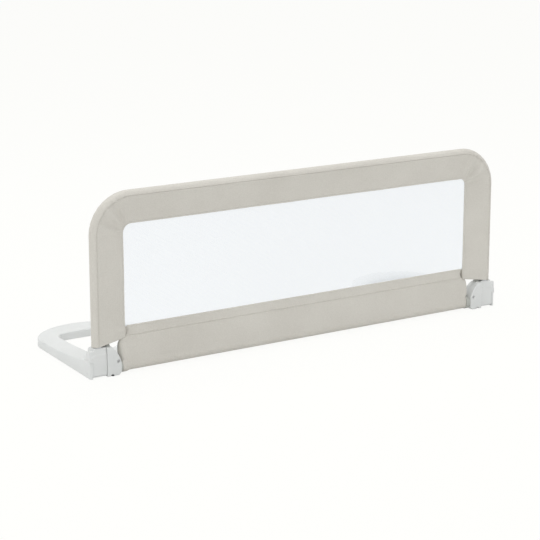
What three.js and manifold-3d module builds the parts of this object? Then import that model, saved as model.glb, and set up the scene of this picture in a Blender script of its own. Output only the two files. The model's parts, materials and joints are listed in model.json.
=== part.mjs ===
// Folding bed guard rail: a fabric-covered tube frame that hinges on two moulded feet.
// X runs along the bed, +Y points under the mattress and Z is up. Lengths are in millimetres.
import * as THREE from "three";
import { mergeVertices } from "three/addons/utils/BufferGeometryUtils.js";
import Module from "manifold-3d";

const wasm = await Module();
wasm.setup();

// Fits shared by all pieces
const seatGap = 0.3; // between pieces that touch
const cutOverrun = 5; // how far a cutting tool runs past the face that it opens
const longestStep = 40; // longest straight stretch of a moulded outline

// Guard frame: two bent tubes joined in the middle of the top
const guardWidth = 1100; // outside of the covered legs
const guardHeight = 411.5; // floor to the crown of the cover
const frameTubeDiameter = 22;
const frameTubeWall = 1.2;
const frameBendRadius = 82; // centre line of the top corners
const joinerLength = 130;
const joinerWall = 1.2;
const snapButtonDiameter = 6;
const snapButtonInset = 40; // from the middle of the top to each button

// Cover: a padded sleeve round the tubes that tapers to the edge of the window
const coverPadding = 2.2;
const legBandWidth = 81;
const topBandWidth = 75.5;
const bandEdgeThickness = 4;
const coverEndRise = 10; // the slanted end of each leg, from its outer to its inner edge
const coverEndGap = 0.8; // above the hinge knuckle

// Window and lower panel
const windowBottom = 107;
const netThickness = 1.2;
const netBorder = 8;
const netStrand = 2.6;
const netColumns = 20;
const netRows = 8;
const panelPadding = 2.6; // hem round the crossbar
const hemRunningGap = 0.9;
const panelOverlap = 12; // past the window on each side
const hemSetback = 7; // the hem is shorter than the panel
const hemCornerHeight = 37;

// Crossbar between the hinges, which is also the fold axis
const crossbarDiameter = 19;
const crossbarWall = 1.2;
const crossbarHeight = 19.5; // axis above the floor
const crossbarEngagement = 20;
const collarDiameter = 33;

// Hinge unit at each end
const unitOverhang = 12; // foot's outer side past the covered leg
const unitWidth = 76;
const unitFront = 14; // ahead of the tubes
const cheekThickness = 7;
const slitWidth = 0.6;
const housingWidth = 34.2;
const housingFrontStep = 2; // the housing stands proud of the knuckle
const housingBack = 20;
const housingTop = 68;
const housingTopWidth = 11.5;
const shoulderStart = 30;
const housingChamfer = 6;
const housingFrontRound = 8;
const housingBackRound = 12;
const knuckleTop = 69;
const knuckleBack = 21;
const knuckleRound = 14;
const knuckleBarrelRadius = 18.7;
const knuckleFrontChamfer = 3;
const bayGap = 0.6; // round the turning knuckle
const bayBackWall = 5;
const socketFloor = 38;
const pinDiameter = 8;
const pinHeadDiameter = 13;
const pinHeadThickness = 2.5;
const pinCapDiameter = 17;
const pinCapThickness = 2;
const pinEngagement = 12; // in the housing
const screwShankDiameter = 3.2;
const screwHeadDiameter = 6.4;
const screwHeadThickness = 2;
const housingScrewHeight = 33.5;
const housingScrewInset = 8; // from the housing's inner face
const housingScrewBite = 12; // into the foot
const legScrewHeight = 54;
const legScrewShankDiameter = 4.4;
const legScrewHeadDiameter = 9;
const legScrewHeadThickness = 2.6;

// Release button in the housing
const buttonWidth = 8.4;
const buttonDepth = 13;
const buttonHeight = 15;
const buttonProud = 4; // above the housing at rest, which is its travel
const buttonSlitWall = 2;
const buttonCrown = 1.5;
const buttonToothDepth = 4;
const buttonToothHeight = 4;
const springRadius = 2.7;
const springWireDiameter = 1.1;
const springTurns = 5;
const springLength = 11;

// Foot: a moulded loop that lies under the mattress
const footLength = 360;
const footWidth = 236;
const footEndDepth = 95; // of the rounded far end
const footArmWidth = 50;
const footBackWidth = 64;
const footFrontHeight = 38.5;
const footBackHeight = 20;
const footWall = 3;
const footEdgeRound = 3.6;
const footClearance = 1; // skirt above the floor
const footHoleFront = 92;
const footHoleCorner = 36;
const footRootWidth = 90;
const slantedArmWidth = 42;
const ribThickness = 2;
const ribCount = 6;
const ribSetback = 5; // rib's lower edge above the skirt's
const padDiameter = 28;
const padThickness = 2;
const padBossWall = 3;
const housingPadDiameter = 18;
const footBulgeShares = { slope: 1.6, rearPull: 1.25, frontPull: 0.5 };
const padPlaceShares = { outer: 0.2, inner: 0.8, rear: 0.82 };

const sides = { tube: 16, pin: 12, pad: 16, bend: 7, foot: 8, wire: 5, coil: 8 };

const tubeRadius = frameTubeDiameter / 2;
const coverBore = tubeRadius + seatGap;
const coverRadius = coverBore + coverPadding;
const legX = guardWidth / 2 - coverRadius;
const topTubeZ = guardHeight - coverRadius;
const windowHalfWidth = guardWidth / 2 - legBandWidth;
const unitOuterX = guardWidth / 2 + unitOverhang;
const unitInnerX = unitOuterX - unitWidth;
const slitX = unitInnerX + housingWidth;
const knuckleInnerX = slitX + slitWidth;
const knuckleOuterX = unitOuterX - cheekThickness - seatGap;
const crossbarRadius = crossbarDiameter / 2;
const hemBore = crossbarRadius + hemRunningGap;
const hemRadius = hemBore + panelPadding;
const crossbarEndX = unitInnerX + crossbarEngagement;
const housingScrewX = unitInnerX + housingScrewInset;

const colours = {
  fabric: { color: 0xc6c2b8, roughness: 0.95, metalness: 0 },
  net: { color: 0xf4f6fb, roughness: 0.9, metalness: 0 },
  shell: { color: 0xdfe1e0, roughness: 0.5, metalness: 0 },
  button: { color: 0xc9cccb, roughness: 0.5, metalness: 0 },
  steel: { color: 0xb9bcc0, roughness: 0.35, metalness: 1 },
  rubber: { color: 0x3c3c3d, roughness: 0.9, metalness: 0 },
};

// Solids to and from geometries

function solidOf(geometry) {
  const bare = new THREE.BufferGeometry();
  bare.setAttribute("position", geometry.getAttribute("position"));
  bare.setIndex(geometry.index);
  const merged = mergeVertices(bare, 1e-4);
  const mesh = new wasm.Mesh({
    numProp: 3,
    vertProperties: new Float32Array(merged.attributes.position.array),
    triVerts: new Uint32Array(merged.index.array),
  });
  return new wasm.Manifold(mesh);
}

function geometryOf(solid) {
  const mesh = solid.getMesh();
  const geometry = new THREE.BufferGeometry();
  geometry.setAttribute("position", new THREE.BufferAttribute(mesh.vertProperties, 3));
  geometry.setIndex(new THREE.BufferAttribute(mesh.triVerts, 1));
  return geometry;
}

function join(...geometries) {
  return geometryOf(geometries.map(solidOf).reduce((a, b) => a.add(b)));
}

function cut(geometry, ...tools) {
  return geometryOf(tools.map(solidOf).reduce((a, b) => a.subtract(b), solidOf(geometry)));
}

function overlapOf(a, b) {
  return geometryOf(solidOf(a).intersect(solidOf(b)));
}

// Prisms along each axis. A shape's two coordinates are the other two axes, in X, Y, Z order.

function prism(shape, from, to, basis) {
  const geometry = new THREE.ExtrudeGeometry(shape, { depth: to - from, bevelEnabled: false });
  geometry.translate(0, 0, from);
  geometry.applyMatrix4(new THREE.Matrix4().makeBasis(...basis));
  return geometry;
}

const axisX = new THREE.Vector3(1, 0, 0);
const axisY = new THREE.Vector3(0, 1, 0);
const axisZ = new THREE.Vector3(0, 0, 1);

function prismX(shape, from, to) {
  return prism(shape, from, to, [axisY, axisZ, axisX]);
}

function prismY(shape, from, to) {
  return prism(shape, -to, -from, [axisX, axisZ, axisY.clone().negate()]);
}

function prismZ(shape, from, to) {
  return prism(shape, from, to, [axisX, axisY, axisZ]);
}

function circle(radius, count, a = 0, b = 0) {
  const points = [];
  for (let i = 0; i < count; i++) {
    const turn = (2 * Math.PI * i) / count;
    points.push(new THREE.Vector2(a + radius * Math.cos(turn), b + radius * Math.sin(turn)));
  }
  return points;
}

function disc(radius, count, a, b) {
  return new THREE.Shape(circle(radius, count, a, b));
}

function rectangle(a0, b0, a1, b1) {
  const shape = new THREE.Shape();
  shape.moveTo(a0, b0);
  shape.lineTo(a1, b0);
  shape.lineTo(a1, b1);
  shape.lineTo(a0, b1);
  return shape;
}

function box(x0, y0, z0, x1, y1, z1) {
  return prismZ(rectangle(x0, y0, x1, y1), z0, z1);
}

// A closed skin over stations, each with an outer ring and, where the piece is hollow, a bore ring.
// The flat points of the end stations are what their caps are triangulated from.
function loft(stations) {
  const positions = [];
  const faces = [];
  const starts = stations.map((station) => {
    const start = positions.length / 3;
    for (const p of [...station.outer, ...station.bore]) positions.push(p.x, p.y, p.z);
    return start;
  });
  const wall = (first, count, turned) => {
    for (let s = 0; s + 1 < stations.length; s++) {
      for (let i = 0; i < count; i++) {
        const a = starts[s] + first + i;
        const b = starts[s] + first + ((i + 1) % count);
        const c = starts[s + 1] + first + i;
        const d = starts[s + 1] + first + ((i + 1) % count);
        faces.push(...(turned ? [a, c, b, b, c, d] : [a, b, c, b, d, c]));
      }
    }
  };
  wall(0, stations[0].outer.length, false);
  wall(stations[0].outer.length, stations[0].bore.length, true);
  for (const last of [false, true]) {
    const index = last ? stations.length - 1 : 0;
    const { flatOuter, flatBore } = stations[index];
    const holes = flatBore.length ? [flatBore] : [];
    for (const [a, b, c] of THREE.ShapeUtils.triangulateShape(flatOuter, holes)) {
      const corners = last ? [a, b, c] : [a, c, b];
      faces.push(...corners.map((corner) => starts[index] + corner));
    }
  }
  return facingOut(positions, faces);
}

function facingOut(positions, faces) {
  let volume = 0;
  const [a, b, c] = [new THREE.Vector3(), new THREE.Vector3(), new THREE.Vector3()];
  for (let i = 0; i < faces.length; i += 3) {
    a.fromArray(positions, 3 * faces[i]);
    b.fromArray(positions, 3 * faces[i + 1]);
    c.fromArray(positions, 3 * faces[i + 2]);
    volume += a.dot(b.cross(c));
  }
  if (volume < 0) {
    for (let i = 0; i < faces.length; i += 3) [faces[i], faces[i + 1]] = [faces[i + 1], faces[i]];
  }
  const geometry = new THREE.BufferGeometry();
  geometry.setAttribute("position", new THREE.Float32BufferAttribute(positions, 3));
  geometry.setIndex(faces);
  return geometry;
}

// Guard frame

// Places along the bent frame from the foot of the +X leg to the middle of the top,
// each with the direction that points into the window and how far round the bend it is.
function framePlaces(footZ, endX) {
  const places = [{ x: legX, z: footZ, inX: -1, inZ: 0, turned: 0 }];
  const centreX = legX - frameBendRadius;
  const centreZ = topTubeZ - frameBendRadius;
  for (let i = 0; i <= sides.bend; i++) {
    const turn = (Math.PI / 2) * (i / sides.bend);
    places.push({
      x: centreX + frameBendRadius * Math.cos(turn),
      z: centreZ + frameBendRadius * Math.sin(turn),
      inX: -Math.cos(turn),
      inZ: -Math.sin(turn),
      turned: i / sides.bend,
    });
  }
  places.push({ x: endX, z: topTubeZ, inX: 0, inZ: -1, turned: 1 });
  return places;
}

function onPlace(place, flat, lift = 0) {
  return new THREE.Vector3(place.x + place.inX * flat.x, flat.y, place.z + place.inZ * flat.x + lift);
}

function frameTube() {
  const outer = circle(tubeRadius, sides.tube);
  const bore = circle(tubeRadius - frameTubeWall, sides.tube);
  const stations = framePlaces(socketFloor + seatGap, seatGap / 2).map((place) => ({
    outer: outer.map((flat) => onPlace(place, flat)),
    bore: bore.map((flat) => onPlace(place, flat)),
    flatOuter: outer,
    flatBore: bore,
  }));
  const snapHole = prismZ(
    disc(snapButtonDiameter / 2 + seatGap, sides.pin, snapButtonInset, 0),
    topTubeZ - tubeRadius - cutOverrun,
    topTubeZ,
  );
  const legScrewHole = prismY(
    disc(legScrewShankDiameter / 2 + seatGap, sides.pin, legX, legScrewHeight),
    0,
    tubeRadius + cutOverrun,
  );
  return cut(loft(stations), snapHole, legScrewHole);
}

function frameJoiner() {
  const radius = tubeRadius - frameTubeWall - seatGap;
  const ring = new THREE.Shape(circle(radius, sides.tube, 0, topTubeZ));
  ring.holes.push(new THREE.Path(circle(radius - joinerWall, sides.tube, 0, topTubeZ)));
  return prismX(ring, -joinerLength / 2, joinerLength / 2);
}

function snapButton() {
  const joinerRadius = tubeRadius - frameTubeWall - seatGap;
  const crown = snapButtonDiameter / 12;
  const radius = snapButtonDiameter / 2;
  const low = topTubeZ - tubeRadius + seatGap;
  const profile = [
    new THREE.Vector2(0, low),
    new THREE.Vector2(radius - crown, low),
    new THREE.Vector2(radius, low + crown),
    new THREE.Vector2(radius, topTubeZ - joinerRadius - seatGap),
    new THREE.Vector2(0, topTubeZ - joinerRadius - seatGap),
  ];
  return turned(profile).translate(snapButtonInset, 0, 0);
}

// A turned piece: the profile's points are radius and height, from the bottom to the top
function turned(profile, count = sides.pin) {
  const geometry = new THREE.LatheGeometry(profile, count);
  geometry.rotateX(Math.PI / 2);
  return geometryOf(solidOf(geometry));
}

// Cover

// Section of the sleeve: round the tube, then tapering over the band to the window's edge
function sleeveSection(radius, bore, reach, boreSides) {
  const outer = [];
  for (let i = 0; i <= boreSides / 2; i++) {
    const turn = Math.PI / 2 + (2 * Math.PI * i) / boreSides;
    outer.push(new THREE.Vector2(radius * Math.cos(turn), radius * Math.sin(turn)));
  }
  const edge = bandEdgeThickness / 2;
  outer.push(new THREE.Vector2(reach - edge, -edge));
  outer.push(new THREE.Vector2(reach, -edge / 2));
  outer.push(new THREE.Vector2(reach, edge / 2));
  outer.push(new THREE.Vector2(reach - edge, edge));
  return { outer, bore: circle(bore, boreSides) };
}

function bandReach(turnedShare) {
  return THREE.MathUtils.lerp(legBandWidth, topBandWidth, turnedShare) - coverRadius;
}

function coverEndLift(flat) {
  return (coverEndRise * (flat.x + coverRadius)) / legBandWidth;
}

function coverSleeve() {
  const half = framePlaces(knuckleTop + coverEndGap, 0);
  const otherHalf = half
    .slice(0, -1)
    .reverse()
    .map((place) => ({ ...place, x: -place.x, inX: -place.inX }));
  const places = [...half.slice(0, -1), ...otherHalf];
  const stations = places.map((place, index) => {
    const section = sleeveSection(coverRadius, coverBore, bandReach(place.turned), sides.tube);
    const isEnd = index === 0 || index === places.length - 1;
    const lift = (flat) => (isEnd ? coverEndLift(flat) : 0);
    return {
      outer: section.outer.map((flat) => onPlace(place, flat, lift(flat))),
      bore: section.bore.map((flat) => onPlace(place, flat, lift(flat))),
      flatOuter: section.outer,
      flatBore: section.bore,
    };
  });
  return loft(stations);
}

function windowNet() {
  const corner = framePlaces(windowBottom, 0)
    .slice(1, -1)
    .map((place) => onPlace(place, new THREE.Vector2(bandReach(place.turned) + seatGap, 0)));
  const low = windowBottom + seatGap;
  const high = corner.at(-1).z;
  const outline = new THREE.Shape();
  outline.moveTo(-corner[0].x, low);
  outline.lineTo(corner[0].x, low);
  corner.forEach((p) => outline.lineTo(p.x, p.z));
  [...corner].reverse().forEach((p) => outline.lineTo(-p.x, p.z));
  const openX = corner[0].x - netBorder;
  const openTop = high - netBorder;
  const openLow = low + netBorder;
  const cornerCut = frameBendRadius - bandReach(1);
  const opening = new THREE.Path();
  opening.moveTo(-openX, openLow);
  opening.lineTo(-openX, openTop - cornerCut);
  opening.lineTo(-openX + cornerCut, openTop);
  opening.lineTo(openX - cornerCut, openTop);
  opening.lineTo(openX, openTop - cornerCut);
  opening.lineTo(openX, openLow);
  outline.holes.push(opening);
  const half = netThickness / 2;
  const edge = netBorder / 2;
  const strands = [];
  for (let column = 1; column < netColumns; column++) {
    const x = THREE.MathUtils.lerp(-openX, openX, column / netColumns);
    strands.push(box(x - netStrand / 2, -half, openLow - edge, x + netStrand / 2, half, openTop + edge));
  }
  for (let row = 1; row < netRows; row++) {
    const z = THREE.MathUtils.lerp(openLow, openTop, row / netRows);
    strands.push(box(-openX - edge, -half, z - netStrand / 2, openX + edge, half, z + netStrand / 2));
  }
  return join(prismY(outline, -half, half), ...strands);
}

function lowerPanel() {
  const panelHalfWidth = windowHalfWidth + panelOverlap;
  const section = sleeveSection(hemRadius, hemBore, windowBottom - crossbarHeight, sides.tube);
  // The section's reach runs upwards from the crossbar
  const shape = new THREE.Shape(
    section.outer.map((flat) => new THREE.Vector2(flat.y, crossbarHeight + flat.x)),
  );
  shape.holes.push(new THREE.Path(circle(hemBore, sides.tube, 0, crossbarHeight)));
  const panel = prismX(shape, -panelHalfWidth, panelHalfWidth);
  const shoulder = knuckleTop + coverEndGap + coverEndLift(new THREE.Vector2(bandReach(0) - panelOverlap, 0));
  const tools = [-1, 1].flatMap((side) => {
    const far = side * (panelHalfWidth + cutOverrun);
    const upper = side * (windowHalfWidth - seatGap);
    const lower = side * (panelHalfWidth - hemSetback);
    const deep = hemRadius + cutOverrun;
    const span = (a) => [Math.min(a, far), Math.max(a, far)];
    const [u0, u1] = span(upper);
    const [l0, l1] = span(lower);
    return [
      box(u0, -deep, shoulder - seatGap, u1, deep, windowBottom + cutOverrun),
      box(l0, -deep, crossbarHeight - deep, l1, deep, hemCornerHeight),
    ];
  });
  return cut(panel, ...tools);
}

// Crossbar

function crossbar() {
  const ring = new THREE.Shape(circle(crossbarRadius, sides.tube, 0, crossbarHeight));
  ring.holes.push(new THREE.Path(circle(crossbarRadius - crossbarWall, sides.tube, 0, crossbarHeight)));
  return prismX(ring, -crossbarEndX + seatGap, crossbarEndX - seatGap);
}

function crossbarCollar() {
  const from = windowHalfWidth + panelOverlap - hemSetback + 2 * seatGap;
  const radius = collarDiameter / 2;
  const ring = new THREE.Shape(circle(radius, sides.pad, 0, crossbarHeight));
  ring.holes.push(new THREE.Path(circle(crossbarRadius + seatGap, sides.tube, 0, crossbarHeight)));
  return prismX(ring, from, unitInnerX - seatGap);
}

// Hinge unit, modelled for the +X end

function hingeHousing() {
  const topInnerX = slitX - housingTopWidth;
  const front = new THREE.Shape();
  front.moveTo(unitInnerX + housingChamfer, footClearance);
  front.lineTo(slitX, footClearance);
  front.lineTo(slitX, housingTop);
  front.lineTo(topInnerX, housingTop);
  front.quadraticCurveTo(
    THREE.MathUtils.lerp(unitInnerX, topInnerX, 1 / 3),
    THREE.MathUtils.lerp(shoulderStart, housingTop, 2 / 3),
    unitInnerX,
    shoulderStart,
  );
  front.lineTo(unitInnerX, footClearance + housingChamfer);
  const frontY = -unitFront - housingFrontStep;
  const side = new THREE.Shape();
  side.moveTo(frontY, footClearance);
  side.lineTo(housingBack, footClearance);
  side.lineTo(housingBack, housingTop - housingBackRound);
  side.quadraticCurveTo(housingBack, housingTop, housingBack - housingBackRound, housingTop);
  side.lineTo(frontY + housingFrontRound, housingTop);
  side.quadraticCurveTo(frontY, housingTop, frontY, housingTop - housingFrontRound);
  const block = overlapOf(
    prismY(finer(front), frontY - cutOverrun, housingBack + cutOverrun),
    prismX(finer(side), unitInnerX - cutOverrun, slitX + cutOverrun),
  );
  const well = buttonWell();
  return cut(
    block,
    prismX(disc(crossbarRadius + seatGap, sides.tube, 0, crossbarHeight), unitInnerX - cutOverrun, crossbarEndX),
    prismX(disc(pinDiameter / 2 + seatGap, sides.pin, 0, crossbarHeight), slitX - pinEngagement, slitX + cutOverrun),
    box(well.x0, well.y0, well.floor, well.x1, well.y1, housingTop + cutOverrun),
    prismY(
      disc(screwShankDiameter / 2 + seatGap, sides.pin, housingScrewX, housingScrewHeight),
      frontY - cutOverrun,
      housingBack + cutOverrun,
    ),
    prismY(
      disc(screwHeadDiameter / 2 + seatGap, sides.pin, housingScrewX, housingScrewHeight),
      frontY - cutOverrun,
      frontY + screwHeadThickness + seatGap,
    ),
    prismZ(
      disc(housingPadDiameter / 2 + seatGap, sides.pad, ...housingPadPlace()),
      footClearance - cutOverrun,
      padThickness + seatGap,
    ),
  );
}

// A shape with its curves in few steps
function finer(shape) {
  return new THREE.Shape(shape.getPoints(sides.foot - 3));
}

function housingPadPlace() {
  return [(unitInnerX + slitX) / 2, -unitFront + housingPadDiameter / 2];
}

function buttonWell() {
  const x1 = slitX - buttonSlitWall;
  return {
    x0: x1 - buttonWidth - 2 * seatGap,
    x1,
    y0: -buttonDepth / 2 - seatGap,
    y1: buttonDepth / 2 + seatGap,
    floor: housingTop + buttonProud - buttonHeight - springLength - 3 * seatGap,
  };
}

function releaseButton() {
  const well = buttonWell();
  const top = housingTop + buttonProud;
  const bottom = top - buttonHeight;
  const low = -buttonDepth / 2;
  const high = buttonDepth / 2;
  const profile = new THREE.Shape();
  profile.moveTo(low, bottom);
  profile.lineTo(high, bottom);
  profile.lineTo(high, top - buttonCrown);
  profile.quadraticCurveTo(0, top + buttonCrown, low, top - buttonCrown);
  const cap = prismX(finer(profile), well.x0 + seatGap, well.x1 - seatGap);
  // The locking tooth is a step in the face towards the knuckle
  const step = box(
    well.x1 - seatGap - buttonSlitWall,
    -buttonToothDepth,
    bottom + buttonToothHeight,
    well.x1 + cutOverrun,
    buttonToothDepth,
    top - buttonProud - 2 * buttonCrown,
  );
  return cut(cap, step);
}

function buttonSpring() {
  const well = buttonWell();
  const floor = well.floor + seatGap;
  const wire = springWireDiameter / 2;
  const steps = springTurns * sides.coil;
  const rise = springLength - springWireDiameter;
  const stations = [];
  for (let i = 0; i <= steps; i++) {
    const turn = (2 * Math.PI * i) / sides.coil;
    const centre = new THREE.Vector3(
      (well.x0 + well.x1) / 2 + springRadius * Math.cos(turn),
      springRadius * Math.sin(turn),
      floor + wire + (rise * i) / steps,
    );
    const out = new THREE.Vector3(Math.cos(turn), Math.sin(turn), 0);
    const section = circle(wire, sides.wire);
    stations.push({
      outer: section.map((flat) => centre.clone().addScaledVector(out, flat.x).setZ(centre.z + flat.y)),
      bore: [],
      flatOuter: section,
      flatBore: [],
    });
  }
  return loft(stations);
}

function screw(shankRadius, headRadius, headThickness, length) {
  const profile = [
    new THREE.Vector2(0, 0),
    new THREE.Vector2(headRadius, 0),
    new THREE.Vector2(headRadius, headThickness),
    new THREE.Vector2(shankRadius, headThickness),
    new THREE.Vector2(shankRadius, length),
    new THREE.Vector2(0, length),
  ];
  return turned(profile);
}

function housingScrew() {
  const frontY = -unitFront - housingFrontStep;
  const length = housingBack - frontY + housingScrewBite;
  const geometry = screw(screwShankDiameter / 2, screwHeadDiameter / 2, screwHeadThickness, length);
  geometry.rotateX(-Math.PI / 2);
  return geometry.translate(housingScrewX, frontY, housingScrewHeight);
}

function legScrew() {
  const length = knuckleBack + tubeRadius / 2;
  const geometry = screw(legScrewShankDiameter / 2, legScrewHeadDiameter / 2, legScrewHeadThickness, length);
  geometry.rotateX(Math.PI / 2);
  return geometry.translate(legX, knuckleBack, legScrewHeight);
}

function hingePin() {
  const profile = [
    new THREE.Vector2(0, 0),
    new THREE.Vector2(pinDiameter / 2, 0),
    new THREE.Vector2(pinDiameter / 2, pinLength() - pinHeadThickness),
    new THREE.Vector2(pinHeadDiameter / 2, pinLength() - pinHeadThickness),
    new THREE.Vector2(pinHeadDiameter / 2, pinLength()),
    new THREE.Vector2(0, pinLength()),
  ];
  const geometry = turned(profile);
  geometry.rotateY(Math.PI / 2);
  return geometry.translate(pinInnerX(), 0, crossbarHeight);
}

function pinInnerX() {
  return slitX - pinEngagement + seatGap;
}

function pinLength() {
  return unitOuterX - pinCapThickness - seatGap - pinInnerX();
}

function pinCap() {
  const radius = pinCapDiameter / 2;
  const profile = [
    new THREE.Vector2(0, 0),
    new THREE.Vector2(radius, 0),
    new THREE.Vector2(radius, pinCapThickness / 2),
    new THREE.Vector2(radius - pinCapThickness / 2, pinCapThickness),
    new THREE.Vector2(0, pinCapThickness),
  ];
  const geometry = turned(profile, sides.pad);
  geometry.rotateY(Math.PI / 2);
  return geometry.translate(unitOuterX - pinCapThickness, 0, crossbarHeight);
}

// Socket for the leg, with the barrel that turns on the pin and the heel that stops it upright
function knuckle() {
  const barrel = knuckleBarrelRadius;
  const heel = footFrontHeight + seatGap;
  const frontDrop = Math.sqrt(barrel ** 2 - unitFront ** 2);
  const startTurn = Math.atan2(-frontDrop, -unitFront);
  const profile = new THREE.Shape();
  profile.moveTo(-unitFront, knuckleTop - knuckleFrontChamfer);
  profile.lineTo(-unitFront, crossbarHeight - frontDrop);
  profile.absarc(0, crossbarHeight, barrel, startTurn, 0, false);
  profile.lineTo(barrel, heel);
  profile.lineTo(knuckleBack, heel);
  profile.lineTo(knuckleBack, knuckleTop - knuckleRound);
  profile.quadraticCurveTo(knuckleBack, knuckleTop, knuckleBack - knuckleRound, knuckleTop);
  profile.lineTo(-unitFront + knuckleFrontChamfer, knuckleTop);
  const block = prismX(new THREE.Shape(profile.getPoints(sides.pin)), knuckleInnerX, knuckleOuterX);
  return cut(
    block,
    prismX(
      disc(pinDiameter / 2 + seatGap, sides.pin, 0, crossbarHeight),
      knuckleInnerX - cutOverrun,
      knuckleOuterX + cutOverrun,
    ),
    prismZ(disc(coverBore, sides.tube, legX, 0), socketFloor, knuckleTop + cutOverrun),
    prismY(
      disc(legScrewShankDiameter / 2 + seatGap, sides.pin, legX, legScrewHeight),
      0,
      knuckleBack + cutOverrun,
    ),
    prismY(
      disc(legScrewHeadDiameter / 2 + seatGap, sides.pin, legX, legScrewHeight),
      knuckleBack - legScrewHeadThickness - seatGap,
      knuckleBack + cutOverrun,
    ),
  );
}

// Foot

// Outlines are drawn as distances inwards from the outer side and back from the front,
// and turned into places when a ring is made.
function footPlace(flat, z) {
  return new THREE.Vector3(unitOuterX - flat.x, -unitFront + flat.y, z);
}

function footTop(flat) {
  const share = THREE.MathUtils.clamp(1 - flat.y / footLength, 0, 1);
  const eased = share ** footBulgeShares.slope;
  return THREE.MathUtils.lerp(footBackHeight, footFrontHeight, eased);
}

function rootFront() {
  return unitFront + housingBack + seatGap;
}

function footOutline() {
  const endY = footLength - footEndDepth;
  const armPull = footEndDepth * footBulgeShares.rearPull;
  const shape = new THREE.Shape();
  shape.moveTo(0, 0);
  shape.lineTo(unitWidth - housingWidth, 0);
  shape.lineTo(unitWidth - housingWidth, rootFront());
  shape.lineTo(footRootWidth, rootFront());
  shape.bezierCurveTo(
    THREE.MathUtils.lerp(footRootWidth, footWidth, 1 / 5),
    rootFront() + footEndDepth * footBulgeShares.frontPull,
    footWidth,
    endY - armPull,
    footWidth,
    endY,
  );
  shape.absellipse(footWidth / 2, endY, footWidth / 2, footEndDepth, 0, Math.PI, false, 0);
  return stepped(shape);
}

function footHole() {
  const right = footWidth - slantedArmWidth;
  const back = footLength - footBackWidth;
  const endY = footLength - footEndDepth;
  const corner = footHoleCorner;
  const nose = (footRootWidth - footArmWidth) / 2;
  const shape = new THREE.Shape();
  shape.moveTo(footArmWidth, footHoleFront + nose);
  shape.quadraticCurveTo(footArmWidth, footHoleFront, footArmWidth + nose, footHoleFront);
  shape.bezierCurveTo(
    THREE.MathUtils.lerp(footArmWidth, right, 1 / 2),
    footHoleFront + nose,
    right,
    endY - footEndDepth,
    right,
    back - corner,
  );
  shape.quadraticCurveTo(right, back, right - corner, back);
  shape.lineTo(footArmWidth + corner, back);
  shape.quadraticCurveTo(footArmWidth, back, footArmWidth, back - corner);
  return stepped(shape);
}

// Outline points with long straights divided, so that a curved top can follow them
function stepped(shape) {
  const points = shape.getPoints(sides.foot);
  if (points[0].distanceTo(points.at(-1)) < seatGap) points.pop();
  const result = [];
  points.forEach((point, index) => {
    const next = points[(index + 1) % points.length];
    const count = Math.ceil(point.distanceTo(next) / longestStep);
    for (let i = 0; i < count; i++) result.push(point.clone().lerp(next, i / count));
  });
  return result;
}

// The outline moved sideways by its own corners: to the inside where the distance is positive
function inset(points, distance) {
  const way = Math.sign(THREE.ShapeUtils.area(points));
  return points.map((point, index) => {
    const before = points.at(index - 1);
    const after = points[(index + 1) % points.length];
    const into = point.clone().sub(before).normalize();
    const out = after.clone().sub(point).normalize();
    const normal = new THREE.Vector2(-into.y - out.y, into.x + out.x).normalize();
    const lean = Math.max(normal.dot(new THREE.Vector2(-into.y, into.x)), 1 / 2);
    return point.clone().addScaledVector(normal, (way * distance) / lean);
  });
}

// A band between an outline and a hole, built up in levels of an inset and a height
function bandSolid(outline, hole, levels) {
  const stations = levels.map((level) => {
    const outer = inset(outline, level.inset);
    const bore = inset(hole, -level.inset);
    return {
      outer: outer.map((flat) => footPlace(flat, level.height(flat))),
      bore: bore.map((flat) => footPlace(flat, level.height(flat))),
      flatOuter: outer,
      flatBore: bore,
    };
  });
  return loft(stations);
}

function footBody() {
  const round = footEdgeRound;
  const eased = round * (1 - Math.SQRT1_2);
  return bandSolid(footOutline(), footHole(), [
    { inset: 0, height: () => footClearance },
    { inset: 0, height: (flat) => footTop(flat) - round },
    { inset: eased, height: (flat) => footTop(flat) - eased },
    { inset: round, height: (flat) => footTop(flat) },
  ]);
}

function footCavity() {
  return bandSolid(footOutline(), footHole(), [
    { inset: footWall, height: () => footClearance - cutOverrun },
    { inset: footWall, height: (flat) => footTop(flat) - footWall },
  ]);
}

function bayBackY() {
  return knuckleBarrelRadius + bayGap;
}

function kneeRoom() {
  const radius = bayBackY();
  const drop = Math.sqrt(radius ** 2 - (unitFront + bayGap) ** 2);
  const bay = new THREE.Shape();
  const far = -unitFront - cutOverrun;
  const low = footClearance - cutOverrun;
  bay.moveTo(far, low);
  bay.lineTo(unitFront + bayGap, low);
  bay.lineTo(unitFront + bayGap, crossbarHeight - drop);
  bay.absarc(0, crossbarHeight, radius, Math.atan2(-drop, unitFront + bayGap), 0, false);
  bay.lineTo(radius, footFrontHeight + cutOverrun);
  bay.lineTo(far, footFrontHeight + cutOverrun);
  return prismX(
    new THREE.Shape(bay.getPoints(sides.foot)),
    slitX - cutOverrun,
    unitOuterX - cheekThickness,
  );
}

function padPlaces() {
  const rear = footLength * padPlaceShares.rear;
  return {
    rear_outer: new THREE.Vector2(footWidth * padPlaceShares.outer, rear),
    rear_inner: new THREE.Vector2(footWidth * padPlaceShares.inner, rear),
  };
}

function footPad(flat) {
  const place = footPlace(flat, 0);
  return prismZ(disc(padDiameter / 2, sides.pad, place.x, place.y), 0, padThickness);
}

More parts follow.
